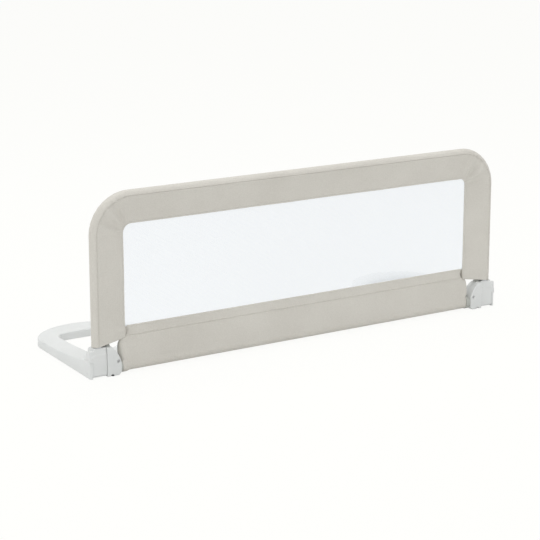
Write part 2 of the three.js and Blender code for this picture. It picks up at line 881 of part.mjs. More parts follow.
function foot() {
  const body = footBody();
  const rootSolidY = bayBackY() + bayBackWall;
  const low = footClearance - 2 * cutOverrun;
  const high = footFrontHeight + 2 * cutOverrun;
  const wide = footWidth + cutOverrun;
  const solidRoot = box(
    unitOuterX - wide,
    -unitFront - cutOverrun,
    low,
    unitOuterX + cutOverrun,
    rootSolidY,
    high,
  );
  const cavity = cut(footCavity(), solidRoot);
  const ribs = [];
  const ribPitch = (footLength - unitFront - rootSolidY - footWall) / (ribCount + 1);
  for (let i = 1; i <= ribCount; i++) {
    const y = rootSolidY + i * ribPitch;
    ribs.push(
      box(
        unitOuterX - wide,
        y - ribThickness / 2,
        footClearance + ribSetback,
        unitOuterX + cutOverrun,
        y + ribThickness / 2,
        high,
      ),
    );
  }
  const bosses = Object.values(padPlaces()).map((flat) => {
    const place = footPlace(flat, 0);
    return prismZ(
      disc(padDiameter / 2 + padBossWall, sides.pad, place.x, place.y),
      footClearance,
      high,
    );
  });
  const screwBoss = prismY(
    disc(screwHeadDiameter / 2 + footWall / 2, sides.pin, housingScrewX, housingScrewHeight - footWall / 2),
    rootSolidY - footWall,
    housingBack + housingScrewBite + footWall,
  );
  const inside = overlapOf(join(...ribs, ...bosses, screwBoss), body);
  const padSeats = Object.values(padPlaces()).map((flat) => {
    const place = footPlace(flat, 0);
    return prismZ(disc(padDiameter / 2 + seatGap, sides.pad, place.x, place.y), low, padThickness + seatGap);
  });
  return cut(
    join(cut(body, cavity), inside),
    kneeRoom(),
    ...padSeats,
    prismY(
      disc(screwShankDiameter / 2 + seatGap, sides.pin, housingScrewX, housingScrewHeight),
      housingBack - cutOverrun,
      housingBack + housingScrewBite + seatGap,
    ),
    prismX(
      disc(pinDiameter / 2 + seatGap, sides.pin, 0, crossbarHeight),
      unitOuterX - cheekThickness - cutOverrun,
      unitOuterX + cutOverrun,
    ),
    prismX(
      disc(pinHeadDiameter / 2 + seatGap, sides.pin, 0, crossbarHeight),
      unitOuterX - pinCapThickness - pinHeadThickness - 2 * seatGap,
      unitOuterX + cutOverrun,
    ),
    prismX(
      disc(pinCapDiameter / 2 + seatGap, sides.pad, 0, crossbarHeight),
      unitOuterX - pinCapThickness - seatGap,
      unitOuterX + cutOverrun,
    ),
  );
}

function housingPad() {
  const [x, y] = housingPadPlace();
  return prismZ(disc(housingPadDiameter / 2, sides.pad, x, y), 0, padThickness);
}

// Assembly

const guardRail = new THREE.Group();

function piece(name, geometry, finish, parent = guardRail) {
  const mesh = new THREE.Mesh(geometry, new THREE.MeshStandardMaterial(colours[finish]));
  mesh.name = name;
  parent.add(mesh);
}

// The feet reach further back than forward, so the model is centred on its own footprint
const reachBack = footLength - unitFront;
const reachFront = unitFront + housingFrontStep;
guardRail.position.y = (reachFront - reachBack) / 2;
const centred = new THREE.Group();
centred.add(guardRail);

piece("cover_sleeve", coverSleeve(), "fabric");
piece("window_net", windowNet(), "net");
piece("lower_panel", lowerPanel(), "fabric");
piece("frame_joiner", frameJoiner(), "steel");
piece("crossbar", crossbar(), "steel");

for (const [side, mirror] of [["left", -1], ["right", 1]]) {
  const unit = new THREE.Group();
  unit.scale.x = mirror;
  guardRail.add(unit);
  piece(`${side}_frame_tube`, frameTube(), "steel", unit);
  piece(`${side}_snap_button`, snapButton(), "steel", unit);
  piece(`${side}_leg_knuckle`, knuckle(), "shell", unit);
  piece(`${side}_leg_screw`, legScrew(), "steel", unit);
  piece(`${side}_foot`, foot(), "shell", unit);
  for (const [place, flat] of Object.entries(padPlaces())) {
    piece(`${side}_${place}_pad`, footPad(flat), "rubber", unit);
  }
  piece(`${side}_front_pad`, housingPad(), "rubber", unit);
  piece(`${side}_hinge_housing`, hingeHousing(), "shell", unit);
  piece(`${side}_housing_screw`, housingScrew(), "steel", unit);
  piece(`${side}_hinge_pin`, hingePin(), "steel", unit);
  piece(`${side}_pin_cap`, pinCap(), "shell", unit);
  piece(`${side}_crossbar_collar`, crossbarCollar(), "button", unit);
  piece(`${side}_release_button`, releaseButton(), "button", unit);
  piece(`${side}_button_spring`, buttonSpring(), "steel", unit);
}

export default centred;
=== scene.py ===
import json
import math

import bpy
import bmesh
import numpy as np
from mathutils.bvhtree import BVHTree
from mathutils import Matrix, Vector, noise
from mathutils.geometry import delaunay_2d_cdt

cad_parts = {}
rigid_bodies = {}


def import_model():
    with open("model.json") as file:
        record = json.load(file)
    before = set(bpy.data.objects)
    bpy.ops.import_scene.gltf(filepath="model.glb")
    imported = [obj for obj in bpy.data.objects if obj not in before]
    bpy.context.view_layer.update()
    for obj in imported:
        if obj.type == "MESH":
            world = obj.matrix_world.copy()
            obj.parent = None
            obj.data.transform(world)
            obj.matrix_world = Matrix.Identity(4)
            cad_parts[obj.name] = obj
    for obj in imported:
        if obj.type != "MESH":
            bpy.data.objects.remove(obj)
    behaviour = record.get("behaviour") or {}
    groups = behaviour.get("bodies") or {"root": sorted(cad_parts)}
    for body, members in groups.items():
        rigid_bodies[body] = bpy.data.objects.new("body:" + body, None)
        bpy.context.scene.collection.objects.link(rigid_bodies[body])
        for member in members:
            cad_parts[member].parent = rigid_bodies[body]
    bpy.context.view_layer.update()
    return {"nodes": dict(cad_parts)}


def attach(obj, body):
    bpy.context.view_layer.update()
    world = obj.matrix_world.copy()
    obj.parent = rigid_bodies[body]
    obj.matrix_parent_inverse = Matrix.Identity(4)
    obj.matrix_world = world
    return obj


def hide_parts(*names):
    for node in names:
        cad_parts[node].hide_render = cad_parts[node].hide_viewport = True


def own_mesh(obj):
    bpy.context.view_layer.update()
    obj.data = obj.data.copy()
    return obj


# Folding bed guard: a fabric-covered tube frame on two moulded feet.
# Shapes are written in millimetres round the plane of the tubes, and become metres when a mesh is made.

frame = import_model()
print("frame loaded:", len(frame["nodes"]), "nodes")

scene = bpy.context.scene
tubePlane = -165.0  # where the tubes stand, front to back
seatGap = 0.3  # between moulded pieces that touch
overrun = 5.0  # how far a cutting tool runs past what it cuts
axisOrder = {"x": (2, 0, 1), "y": (0, 2, 1), "z": (0, 1, 2)}


# Helpers for shapes

def sizes(values, names):  # several numbers of a dictionary, by their names
    return [values[name] for name in names.split()]


def smoothStep(share):
    share = np.clip(share, 0.0, 1.0)
    return share * share * (3 - 2 * share)


def mix(a, b, share):
    return a + (b - a) * share


def arc(radius, fromTurn, toTurn, count, a=0.0, b=0.0):
    turn = np.linspace(fromTurn, toTurn, count)
    return np.stack([a + radius * np.cos(turn), b + radius * np.sin(turn)], 1)


def circle(radius, count, a=0.0, b=0.0):
    return arc(radius, 0, 2 * math.pi, count + 1, a, b)[:-1]


def bezier(corners, count):
    share = np.linspace(0, 1, count)[:, None]
    points = [np.asarray(corner, float)[None, :] for corner in corners]
    while len(points) > 1:
        points = [mix(p, q, share) for p, q in zip(points, points[1:])]
    return points[0]


def outlineOf(*runs):  # joined runs of points, without the doubled ones
    points = np.concatenate([np.asarray(run, float).reshape(-1, 2) for run in runs])
    after = np.roll(points, -1, 0)
    return points[np.linalg.norm(after - points, axis=1) > 1e-6]


def stepped(points, longest):  # long straights of a closed outline divided
    result = []
    for here, after in zip(points, np.roll(points, -1, 0)):
        count = max(1, math.ceil(np.linalg.norm(after - here) / longest))
        result += [mix(here, after, i / count) for i in range(count)]
    return np.array(result)


def tubeOfRings(rings, closing="capped"):  # or joined, where the last ring meets the first
    size, last = len(rings[0]), (len(rings) - 1) * len(rings[0])
    steps = [(low, low + size) for low in range(0, last, size)] + [(last, 0)] * (closing == "joined")
    faces = [(low + i, low + (i + 1) % size, high + (i + 1) % size, high + i)
             for low, high in steps for i in range(size)]
    if closing == "capped":
        faces += [tuple(range(size)), tuple(last + i for i in reversed(range(size)))]
    return np.concatenate(rings), faces


def setAll(thing, **settings):
    for key, value in settings.items():
        setattr(thing, key, value)
    return thing


def linked(name, data):
    made = bpy.data.objects.new(name, data)
    scene.collection.objects.link(made)
    return made


def newPiece(name, points, faces):
    mesh = bpy.data.meshes.new(name)
    points = (np.asarray(points, float) + (0, tubePlane, 0)) / 1000
    mesh.from_pydata(points.tolist(), [], [tuple(face) for face in faces])
    shape = bmesh.new()
    shape.from_mesh(mesh)
    bmesh.ops.remove_doubles(shape, verts=shape.verts, dist=1e-7)
    bmesh.ops.recalc_face_normals(shape, faces=shape.faces)
    shape.to_mesh(mesh)
    shape.free()
    return linked(name, mesh)


def placesOf(mesh):  # in millimetres, as the shapes are written
    places = np.empty(len(mesh.vertices) * 3)
    mesh.vertices.foreach_get("co", places)
    return places.reshape(-1, 3) * 1000 - (0, tubePlane, 0)


def setPlaces(mesh, places):
    mesh.vertices.foreach_set("co", ((places + (0, tubePlane, 0)) / 1000).ravel())


def settle(piece):  # what its modifiers make becomes its mesh
    graph = bpy.context.evaluated_depsgraph_get()
    shaped = bpy.data.meshes.new_from_object(piece.evaluated_get(graph))
    old = piece.data
    piece.modifiers.clear()
    piece.data = shaped
    bpy.data.meshes.remove(old)
    return piece


def change(piece, kind, **settings):  # a modifier, which settle applies
    setAll(piece.modifiers.new(kind, kind), **settings)


def combined(piece, tools, how="DIFFERENCE"):
    for tool in tools:
        change(piece, "BOOLEAN", operation=how, solver="MANIFOLD", object=tool)
    settle(piece)
    for tool in tools:
        bpy.data.objects.remove(tool)
    return piece


def copyOf(piece, name, flip=False):  # flip mirrors it to the other end
    mesh = piece.data.copy()
    mesh.name = name
    if flip:
        setPlaces(mesh, placesOf(mesh) * (-1, 1, 1))
        mesh.flip_normals()
    return linked(name, mesh)


def rounded(piece, radius, steps):  # its sharp edges
    change(piece, "BEVEL", width=radius / 1000, segments=steps, limit_method="ANGLE",
           angle_limit=math.radians(32))
    return settle(piece)


def moulded(piece, grain, passes):  # one skin with soft edges, as from a mould
    change(piece, "REMESH", mode="VOXEL", voxel_size=grain / 1000, adaptivity=0)
    change(piece, "SMOOTH", factor=0.5, iterations=passes)
    return settle(piece)


def standing(outline, place, along):  # the outline's two numbers are the other two axes, in order
    return np.column_stack([outline, np.full(len(outline), float(place))])[:, axisOrder[along]]


def prism(outline, start, end, along):
    return newPiece("prism", *tubeOfRings([standing(outline, place, along) for place in (start, end)]))


def block(low, high):
    outline = [(low[0], low[1]), (high[0], low[1]), (high[0], high[1]), (low[0], high[1])]
    return prism(np.array(outline, float), low[2], high[2], "z")


def rod(radius, count, a, b, start, end, along):  # round its centre on the other two axes
    return prism(circle(radius, count, a, b), start, end, along)


def turned(profile, count, along, centre=(0, 0, 0), closing="capped"):  # profile of radius and place
    rings = [standing(circle(max(radius, 1e-4), count), place, along) + centre for radius, place in profile]
    return newPiece("turned", *tubeOfRings(rings, closing))


def keep(piece, name, body, look, standsFor=(), sharp=38):
    piece.name = name
    piece.data.name = name
    piece.data.materials.clear()
    piece.data.materials.append(look)
    piece.data.shade_smooth()
    if sharp:
        piece.data.set_sharp_from_angle(angle=math.radians(sharp))
    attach(piece, body)
    if standsFor:
        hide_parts(*standsFor)
    return piece


def bothEnds(make, name, body, look, sharp=38):  # made for the right end and mirrored
    right = make()
    for side, piece in (("left", copyOf(right, "copy", flip=True)), ("right", right)):
        title = name[0].upper() + name[1:]
        cadName = side + "_" + "".join("_" + c.lower() if c.isupper() else c for c in name)
        keep(piece, side + title, body.replace("SIDE", side), look, [cadName], sharp)
    print("made", name, len(right.data.polygons))


# Materials

def node(tree, kind, values=None, **settings):
    made = setAll(tree.nodes.new("ShaderNode" + kind), **settings)
    for key, value in (values or {}).items():
        if isinstance(value, bpy.types.NodeSocket):
            tree.links.new(value, made.inputs[key])
        else:
            made.inputs[key].default_value = value
    return made


def newLook(name, roughness, **fixed):
    look = bpy.data.materials.new(name)
    look.use_nodes = True
    shader = look.node_tree.nodes["Principled BSDF"]
    shader.inputs["Roughness"].default_value = roughness
    for key, value in fixed.items():
        shader.inputs[key.replace("_", " ")].default_value = value
    return look, look.node_tree, shader, node(look.node_tree, "TexCoord").outputs["Object"]


def cloud(tree, place, scale, detail=2.0):
    return node(tree, "TexNoise", {"Vector": place, "Scale": scale, "Detail": detail}).outputs["Fac"]


def ramp(tree, share, colours, fromShare=0.3, toShare=0.7):
    made = node(tree, "ValToRGB", {"Fac": share})
    for stop, position, colour in zip(made.color_ramp.elements, (fromShare, toShare), colours):
        stop.position, stop.color = position, (*colour, 1)
    return made.outputs["Color"]


def ranged(tree, share, low, high):
    values = {"Value": share, "From Min": 0.3, "From Max": 0.7, "To Min": low, "To Max": high}
    return node(tree, "MapRange", values).outputs["Result"]


def calc(tree, how, a, b):
    return node(tree, "Math", {0: a, 1: b}, operation=how).outputs["Value"]


def blend(tree, a, b):
    return calc(tree, "ADD", calc(tree, "MULTIPLY", a, 0.6), calc(tree, "MULTIPLY", b, 0.4))


def mixed(tree, share, first, second, target="Material Output"):  # two shaders become the surface
    both = node(tree, "MixShader", {"Fac": share, 1: first.outputs[0], 2: second.outputs[0]})
    tree.links.new(both.outputs["Shader"], tree.nodes[target].inputs["Surface"])


def dress(tree, shader, height, depth, colour, rough=None):  # the relief's depth is in millimetres
    bump = node(tree, "Bump", {"Height": height, "Distance": depth / 1000, "Strength": 1.0})
    tree.links.new(bump.outputs["Normal"], shader.inputs["Normal"])
    tree.links.new(colour, shader.inputs["Base Color"])
    if rough:
        tree.links.new(rough, shader.inputs["Roughness"])


def wovenLook(name, colours, threadPitch, depth, sheen):  # plain weave with a slight melange
    look, tree, shader, place = newLook(name, 0.9, Sheen_Weight=sheen, Sheen_Roughness=0.5,
                                        Specular_IOR_Level=0.25)
    scale = 2 * math.pi / (20 * threadPitch / 1000)
    threads = None
    for way in "XYZ":
        wave = node(tree, "TexWave", {"Vector": place, "Scale": scale, "Distortion": 0.6,
                                      "Detail": 1.0, "Detail Scale": 0.4},
                    wave_type="BANDS", bands_direction=way).outputs["Fac"]
        threads = wave if threads is None else calc(tree, "ADD", threads, wave)
    slub, broad = cloud(tree, place, 420, 3), cloud(tree, place, 9)
    dress(tree, shader, calc(tree, "ADD", threads, calc(tree, "MULTIPLY", slub, 0.8)), depth,
          ramp(tree, blend(tree, slub, broad), colours, 0.36, 0.62), ranged(tree, slub, 0.82, 0.97))
    return look


def mouldedLook(name, colours, roughness, grain=0.02):  # satin plastic from a fine-eroded mould
    look, tree, shader, place = newLook(name, roughness, Specular_IOR_Level=0.45)
    broad, fine = cloud(tree, place, 14), cloud(tree, place, 1500)
    dress(tree, shader, fine, grain, ramp(tree, broad, colours),
          ranged(tree, blend(tree, fine, broad), roughness - 0.06, roughness + 0.08))
    return look


def metalLook(name, colours, roughness, way):  # drawn along one axis
    look, tree, shader, place = newLook(name, roughness, Metallic=1.0)
    drawn = node(tree, "Mapping", {"Vector": place, "Scale": way}).outputs["Vector"]
    lines = cloud(tree, drawn, 90, 4)
    dress(tree, shader, lines, 0.01, ramp(tree, lines, colours),
          ranged(tree, lines, roughness - 0.08, roughness + 0.1))
    return look


def netLookOf(name, colours):  # some light comes through the threads
    look, tree, shader, place = newLook(name, 0.5, Transmission_Weight=0.8, IOR=1.1, Sheen_Weight=0.4)
    fine = cloud(tree, place, 900)
    colour = ramp(tree, fine, colours)
    dress(tree, shader, fine, 0.05, colour)
    mixed(tree, 0.2, shader, node(tree, "BsdfTranslucent", {"Color": colour}))
    return look


finish = {  # the darkest and lightest colour of each
    "cover": ((0.6, 0.578, 0.527), (0.66, 0.64, 0.587)), "thread": ((0.6, 0.58, 0.53), (0.7, 0.68, 0.63)),
    # trim: a dark grey-green, partly the collar's own colour and partly painted shade of the narrow gap
    # between the panel's hem and the housing; the release button shares it
    "shell": ((0.685, 0.7, 0.69), (0.715, 0.728, 0.72)), "trim": ((0.43, 0.44, 0.41), (0.47, 0.48, 0.45)),
    "rubber": ((0.028, 0.028, 0.03), (0.05, 0.05, 0.052)), "tube": ((0.5, 0.51, 0.52), (0.62, 0.63, 0.64)),
    "screw": ((0.42, 0.42, 0.43), (0.55, 0.55, 0.56)), "net": ((0.87, 0.915, 0.99), (0.92, 0.96, 1.0)),
    "coverPitch": 0.9, "coverRelief": 0.09, "coverSheen": 0.12,
    "shellRough": 0.46, "trimRough": 0.5, "rubberRough": 0.75, "tubeRough": 0.36, "screwRough": 0.3,
}
coverLook = wovenLook("coverWeave", finish["cover"], finish["coverPitch"], finish["coverRelief"],
                      finish["coverSheen"])
threadLook = wovenLook("sewingThread", finish["thread"], 0.3, 0.05, 0.1)
shellLook = mouldedLook("shellPlastic", finish["shell"], finish["shellRough"])
# trim plastic whose colour is partly painted shade of the gap beside the collar
trimShadeLook = mouldedLook("trimPlasticShaded", finish["trim"], finish["trimRough"])
rubberLook = mouldedLook("padRubber", finish["rubber"], finish["rubberRough"], 0.04)
tubeLook = metalLook("zincTube", finish["tube"], finish["tubeRough"], (0.05, 1.0, 1.0))
screwLook = metalLook("plainScrew", finish["screw"], finish["screwRough"], (1.0, 1.0, 1.0))
netLook = netLookOf("windowNet", finish["net"])
print("materials ready")


# Camera, light and floor

camera = {"place": (-2.030174, -3.313205, 1.160553), "turn": 31.5991, "down": 12.5993,
          "lens": 110.326, "shift": -0.12}
light = {
    "backdrop": (1.0, 1.0, 0.98), "around": 0.62,
    "floor": (0.9, 0.9, 0.89), "floorRough": 0.9, "floorGlow": 0.93, "floorReach": 12.0,
    "lamps": [  # place, size, watts, aimed at
        ("overhead", (0.0, 0.3, 3.2), 3.0, 52, (0, 0, 0)),
        ("leftSide", (-3.4, -0.6, 1.5), 2.2, 22, (0, 0, 0.2)),
        ("front", (1.1, -3.2, 1.5), 1.6, 15, (0.4, 0, 0.2)),
    ],
}
eye = linked("camera", bpy.data.cameras.new("camera"))
eye.location = camera["place"]
eye.rotation_euler = (math.radians(90 - camera["down"]), 0, math.radians(-camera["turn"]))
setAll(eye.data, lens=camera["lens"], sensor_width=36, shift_y=camera["shift"], clip_end=60)
scene.camera = eye
scene.view_settings.view_transform = "Standard"


def seen(tree):  # 1 for rays that show a thing, 0 for those that light others
    rays = node(tree, "LightPath").outputs
    return calc(tree, "MAXIMUM", rays["Is Camera Ray"],
                calc(tree, "MAXIMUM", rays["Is Glossy Ray"], rays["Is Transmission Ray"]))


def sky():
    world = bpy.data.worlds.new("studio")
    world.use_nodes = True
    scene.world = world
    tree = world.node_tree
    lit = node(tree, "Background", {"Color": (1, 1, 1, 1), "Strength": light["around"]})
    shown = node(tree, "Background", {"Color": (*light["backdrop"], 1), "Strength": 1.0})
    mixed(tree, seen(tree), lit, shown, "World Output")


def floor():
    look, tree, plain, _ = newLook("paleFloor", light["floorRough"], Base_Color=(*light["floor"], 1))
    glow = node(tree, "Emission", {"Color": (*light["backdrop"], 1), "Strength": 1.0})
    mixed(tree, calc(tree, "MULTIPLY", seen(tree), light["floorGlow"]), plain, glow)
    reach = light["floorReach"]
    mesh = bpy.data.meshes.new("floor")
    mesh.from_pydata([(-reach, -reach, 0), (reach, -reach, 0), (reach, reach, 0), (-reach, reach, 0)],
                     [], [(0, 1, 2, 3)])
    mesh.materials.append(look)
    linked("floor", mesh)


sky()
floor()
for lampName, lampPlace, lampSize, watts, aim in light["lamps"]:
    lamp = setAll(bpy.data.lights.new(lampName, "AREA"), size=lampSize, energy=watts)
    holder = linked(lampName, lamp)
    holder.location = lampPlace
    holder.rotation_euler = (Vector(aim) - Vector(lampPlace)).to_track_quat("-Z", "Y").to_euler()
print("camera and light ready")


# Sizes that the feet and hinge units share; all are drawn for the right end and mirrored for the left

hinge = {
    "outer": 562.0, "inner": 486.0, "slit": 520.2, "front": 14.0, "low": 1.0, "cheek": 7.0, "legX": 536.5,
    "axis": 19.5, "barrel": 18.7, "bayGap": 0.6, "pinBore": 4.3, "headBore": 6.8, "headDepth": 5.1,
    "capBore": 8.8, "capDepth": 2.3, "screwX": 494.0, "screwZ": 33.5, "screwBore": 1.9, "grain": 0.75,
}


# Feet: moulded loops, ribbed underneath. Outlines run inwards from the outer side and back from the front.

foot = {
    "length": 360.0, "width": 236.0, "endDepth": 95.0, "armWidth": 50.0, "backWidth": 64.0,
    "slantedArm": 42.0, "rootWidth": 90.0, "rootFront": 34.3, "besideHousing": 41.8,
    "holeFront": 92.0, "holeNose": 20.0, "holeCorner": 36.0,
    "frontHeight": 38.5, "backHeight": 20.0, "slope": 2.8, "lead": 30.0,
    "wall": 3.0, "edgeRound": 3.6, "edgeSteps": 6, "lowRound": 0.6, "cornerRound": 4.5,
    "ribs": 6, "ribThickness": 2.0, "ribSetback": 5.0, "rootSolid": 24.3,
    "padRadius": 14.0, "padSeat": 2.0, "padOuter": 0.2, "padInner": 0.8, "padRear": 0.82, "padBoss": 3.0,
    "cheekBoss": 23.2, "bossSunk": 4.0, "bossRound": 0.5,
    "screwBoss": 4.7, "screwBossZ": 32.0, "screwBossBack": 35.0, "screwFrom": 15.0, "screwTo": 32.3,
    "pointPitch": 7.0, "topGrid": 9.0,
}


def footTop(back):
    share = np.clip(1 - (back - foot["lead"]) / (foot["length"] - foot["lead"]), 0, 1) ** foot["slope"]
    return mix(foot["backHeight"], foot["frontHeight"], share)


def footOutline():
    width, depth, root, rootWidth, r, side, length = sizes(
        foot, "width endDepth rootFront rootWidth cornerRound besideHousing length")
    endY = length - depth
    slant = bezier([(rootWidth, root), (mix(rootWidth, width, 0.2), root + depth / 2),
                    (width, endY - depth * 1.25), (width, endY)], 60)
    turn = np.linspace(0, math.pi, 91)
    far = np.stack([width / 2 * (1 + np.cos(turn)), endY + depth * np.sin(turn)], 1)
    front = arc(r, math.pi, 1.5 * math.pi, 7, r, r)
    return stepped(outlineOf(front, [(side, 0), (side, root)], slant, far), foot["pointPitch"])


def footHole():
    arm, near, nose, r, length, width = sizes(foot, "armWidth holeFront holeNose holeCorner length width")
    right, back = width - foot["slantedArm"], length - foot["backWidth"]
    slant = [(arm + nose, near), ((arm + right) / 2, near + nose), (right, length - 2 * foot["endDepth"])]
    return stepped(outlineOf(
        bezier([(arm, near + nose), (arm, near), (arm + nose, near)], 14),
        bezier([*slant, (right, back - r)], 50),
        bezier([(right, back - r), (right, back), (right - r, back)], 14),
        bezier([(arm + r, back), (arm, back), (arm, back - r)], 14)), foot["pointPitch"])


def inset(points, distance):  # towards the inside of the outline
    before, after = points - np.roll(points, 1, 0), np.roll(points, -1, 0) - points
    area = np.sum(points[:, 0] * after[:, 1] - points[:, 1] * after[:, 0])
    before /= np.linalg.norm(before, axis=1)[:, None]
    after /= np.linalg.norm(after, axis=1)[:, None]
    normal = np.stack([-before[:, 1] - after[:, 1], before[:, 0] + after[:, 0]], 1)
    normal /= np.linalg.norm(normal, axis=1)[:, None]
    lean = np.maximum(np.sum(normal * np.stack([-before[:, 1], before[:, 0]], 1), axis=1), 0.5)
    return points + normal * (np.sign(area) * distance / lean)[:, None]


def within(points, outline):
    inside = np.zeros(len(points), bool)
    for (ax, ay), (bx, by) in zip(outline, np.roll(outline, -1, 0)):
        crosses = (ay > points[:, 1]) != (by > points[:, 1])
        at = ax + (points[:, 1] - ay) / (by - ay if by != ay else 1) * (bx - ax)
        inside ^= crosses & (points[:, 0] < at)
    return inside


def bandCap(outer, hole, grid):  # triangles between two outlines, and the points added inside
    extra = np.zeros((0, 2))
    if grid:
        a, b = np.arange(grid / 2, foot["width"], grid), np.arange(grid / 2, foot["length"], grid)
        extra = np.stack(np.meshgrid(a, b), -1).reshape(-1, 2)
        extra = extra[within(extra, inset(outer, grid / 2)) & ~within(extra, inset(hole, -grid / 2))]
    points = np.concatenate([outer, hole, extra])
    n, m = len(outer), len(hole)
    edges = [(i, (i + 1) % n) for i in range(n)] + [(n + i, n + (i + 1) % m) for i in range(m)]
    found = delaunay_2d_cdt([Vector(p) for p in points], edges, [], 0, 1e-6, True)
    places = np.array([tuple(p) for p in found[0]])
    names = [origin[0] for origin in found[3]]
    faces = np.array(found[2])
    middle = places[faces].mean(1)
    faces = faces[within(middle, outer) & ~within(middle, hole)]
    return [tuple(names[i] for i in face) for face in faces], extra


def band(levels):  # a closed loop with an outer wall and a hole wall, in levels of inset and height
    outline, hole = footOutline(), footHole()
    sizes = (len(outline), len(hole))
    points, faces, starts, total = [], [], [], 0
    for depth, height in levels:
        for flat in (inset(outline, depth), inset(hole, -depth)):
            points.append(np.column_stack([flat, height(flat[:, 1])]))
            starts.append(total)
            total += len(flat)
    for level in range(len(levels) - 1):
        for low, high, size in zip(starts[2 * level:], starts[2 * level + 2:], sizes):
            faces += [(low + i, low + (i + 1) % size, high + (i + 1) % size, high + i) for i in range(size)]
    for level, grid in ((0, None), (-1, foot["topGrid"])):
        depth, height = levels[level]
        cap, extra = bandCap(inset(outline, depth), inset(hole, -depth), grid)
        base, known = starts[2 * level], sum(sizes)
        faces += [tuple(base + i if i < known else total + i - known for i in face) for face in cap]
        points.append(np.column_stack([extra, height(extra[:, 1])]))
        total += len(extra)
    places = np.concatenate(points) * (-1, 1, 1) + (hinge["outer"], -hinge["front"], 0)
    return newPiece("band", places, faces)


def footBody():
    r, steps, low, soft = foot["edgeRound"], foot["edgeSteps"], hinge["low"], foot["lowRound"]
    levels = [(soft, lambda back: np.full_like(back, low)),
              (0.0, lambda back: np.full_like(back, low + soft))]
    for turn in (math.pi / 2 * i / steps for i in range(steps + 1)):
        levels.append((r * (1 - math.cos(turn)),
                       lambda back, drop=r * (1 - math.sin(turn)): footTop(back) - drop))
    return band(levels)


def footCavity():
    wall = foot["wall"]
    return band([(wall, lambda back: np.full_like(back, hinge["low"] - overrun)),
                 (wall, lambda back: footTop(back) - wall)])


def padCentres():  # rear outer and rear inner
    back = foot["length"] * foot["padRear"] - hinge["front"]
    return [(hinge["outer"] - foot["width"] * foot[share], back) for share in ("padOuter", "padInner")]


def kneeRoom():
    front, radius = hinge["front"] + hinge["bayGap"], hinge["barrel"] + hinge["bayGap"]
    drop = math.sqrt(radius ** 2 - front ** 2)
    far, low, top = -front - 2 * overrun, hinge["low"] - overrun, foot["frontHeight"] + overrun
    knee = arc(radius, math.atan2(-drop, front), 0, 14, 0, hinge["axis"])
    outline = outlineOf([(far, low), (front, low)], knee, [(radius, top), (far, top)])
    return prism(outline, hinge["slit"] - overrun, hinge["outer"] - hinge["cheek"], "x")


def cheekBoss():  # round top of the cheek, which the knuckle's ear turns round
    outer, cheek, axis, front = sizes(hinge, "outer cheek axis front")
    r, inner, low = foot["cheekBoss"], outer - cheek, foot["frontHeight"] - foot["bossSunk"]
    room = block((inner - 1, -front, low), (outer + 1, r, axis + r + 1))
    made = combined(rod(r, 140, 0, axis, inner, outer, "x"), [room], "INTERSECT")
    return rounded(made, foot["bossRound"], 2)


def makeFoot():
    body = footBody()
    shell = copyOf(body, "shell")
    outer, front, axis, low, screwX = sizes(hinge, "outer front axis low screwX")
    solid, wall, ribs, seat, radius = sizes(foot, "rootSolid wall ribs padSeat padRadius")
    deep, high = low - 2 * overrun, foot["frontHeight"] + 2 * overrun
    far, near = outer - foot["width"] - overrun, outer + overrun
    combined(body, [combined(footCavity(), [block((far, -front - overrun, deep), (near, solid, high))])])
    pitch, half = (foot["length"] - front - solid - wall) / (ribs + 1), foot["ribThickness"] / 2
    inside = []
    for y in (solid + i * pitch for i in range(1, ribs + 1)):
        inside.append(block((far, y - half, low + foot["ribSetback"]), (near, y + half, high)))
    inside += [rod(radius + foot["padBoss"], 48, *centre, low, high, "z") for centre in padCentres()]
    boss, bossZ, bossBack, start, end = sizes(foot, "screwBoss screwBossZ screwBossBack screwFrom screwTo")
    inside.append(rod(boss, 24, screwX, bossZ, solid - wall, bossBack, "y"))
    fill = combined(combined(inside[0], inside[1:], "UNION"), [shell], "INTERSECT")
    combined(body, [fill, cheekBoss()], "UNION")
    tools = [kneeRoom(), rod(hinge["screwBore"], 20, screwX, hinge["screwZ"], start, end, "y")]
    tools += [rod(radius + seatGap, 48, *centre, deep, seat + seatGap, "z") for centre in padCentres()]
    for bore, depth in (("pinBore", hinge["cheek"] + overrun), ("headBore", hinge["headDepth"]),
                        ("capBore", hinge["capDepth"])):
        tools.append(rod(hinge[bore], 48, 0, axis, outer - depth, outer + overrun, "x"))
    return combined(body, tools)


bothEnds(makeFoot, "foot", "base", shellLook)


# Hinge housing, knuckle and button

housing = {
    "front": 16.0, "back": 20.0, "top": 68.0, "topWidth": 11.5, "shoulder": 30.0, "chamfer": 6.0,
    "frontRound": 8.0, "backLow": 32.0, "backTop": 12.0, "barBore": 9.8, "barDepth": 20.0, "pinDepth": 12.0,
    "screwHead": 3.7, "screwSunk": 2.3, "padBore": 9.3, "padSeat": 2.3, "padY": -5.0,
    "recess": 4.7, "recessFromSlit": 11.7, "recessBack": -9.0,
}
knuckle = {
    "inner": 520.8, "outer": 554.7, "top": 69.0, "back": 21.0, "round": 16.0, "frontRound": 3.0, "heel": 38.8,
    "socketFloor": 38.0, "socket": 11.3, "socketOuter": 551.0, "earTop": 64.0, "earBack": 9.0,
    "earHollow": 23.5, "join": 0.4, "bearing": 13.2, "faceLean": 3.2, "faceLow": 43.0, "faceHigh": 54.0,
    "faceReach": 21.0, "screwZ": 54.0, "screwBore": 2.5, "screwHead": 4.8, "screwSunk": 2.9,
}
button = {
    "width": 8.4, "depth": 13.0, "height": 15.0, "proud": 4.0, "fromSlit": 2.3, "crown": 1.5,
    "ribPitch": 2.1, "ribRadius": 0.55, "springFloor": 45.4, "springLength": 10.9, "travel": 4.0,
    "springRadius": 2.7, "wire": 0.55, "turns": 5, "edgeRound": 0.6, "ribSunk": 0.3,
}


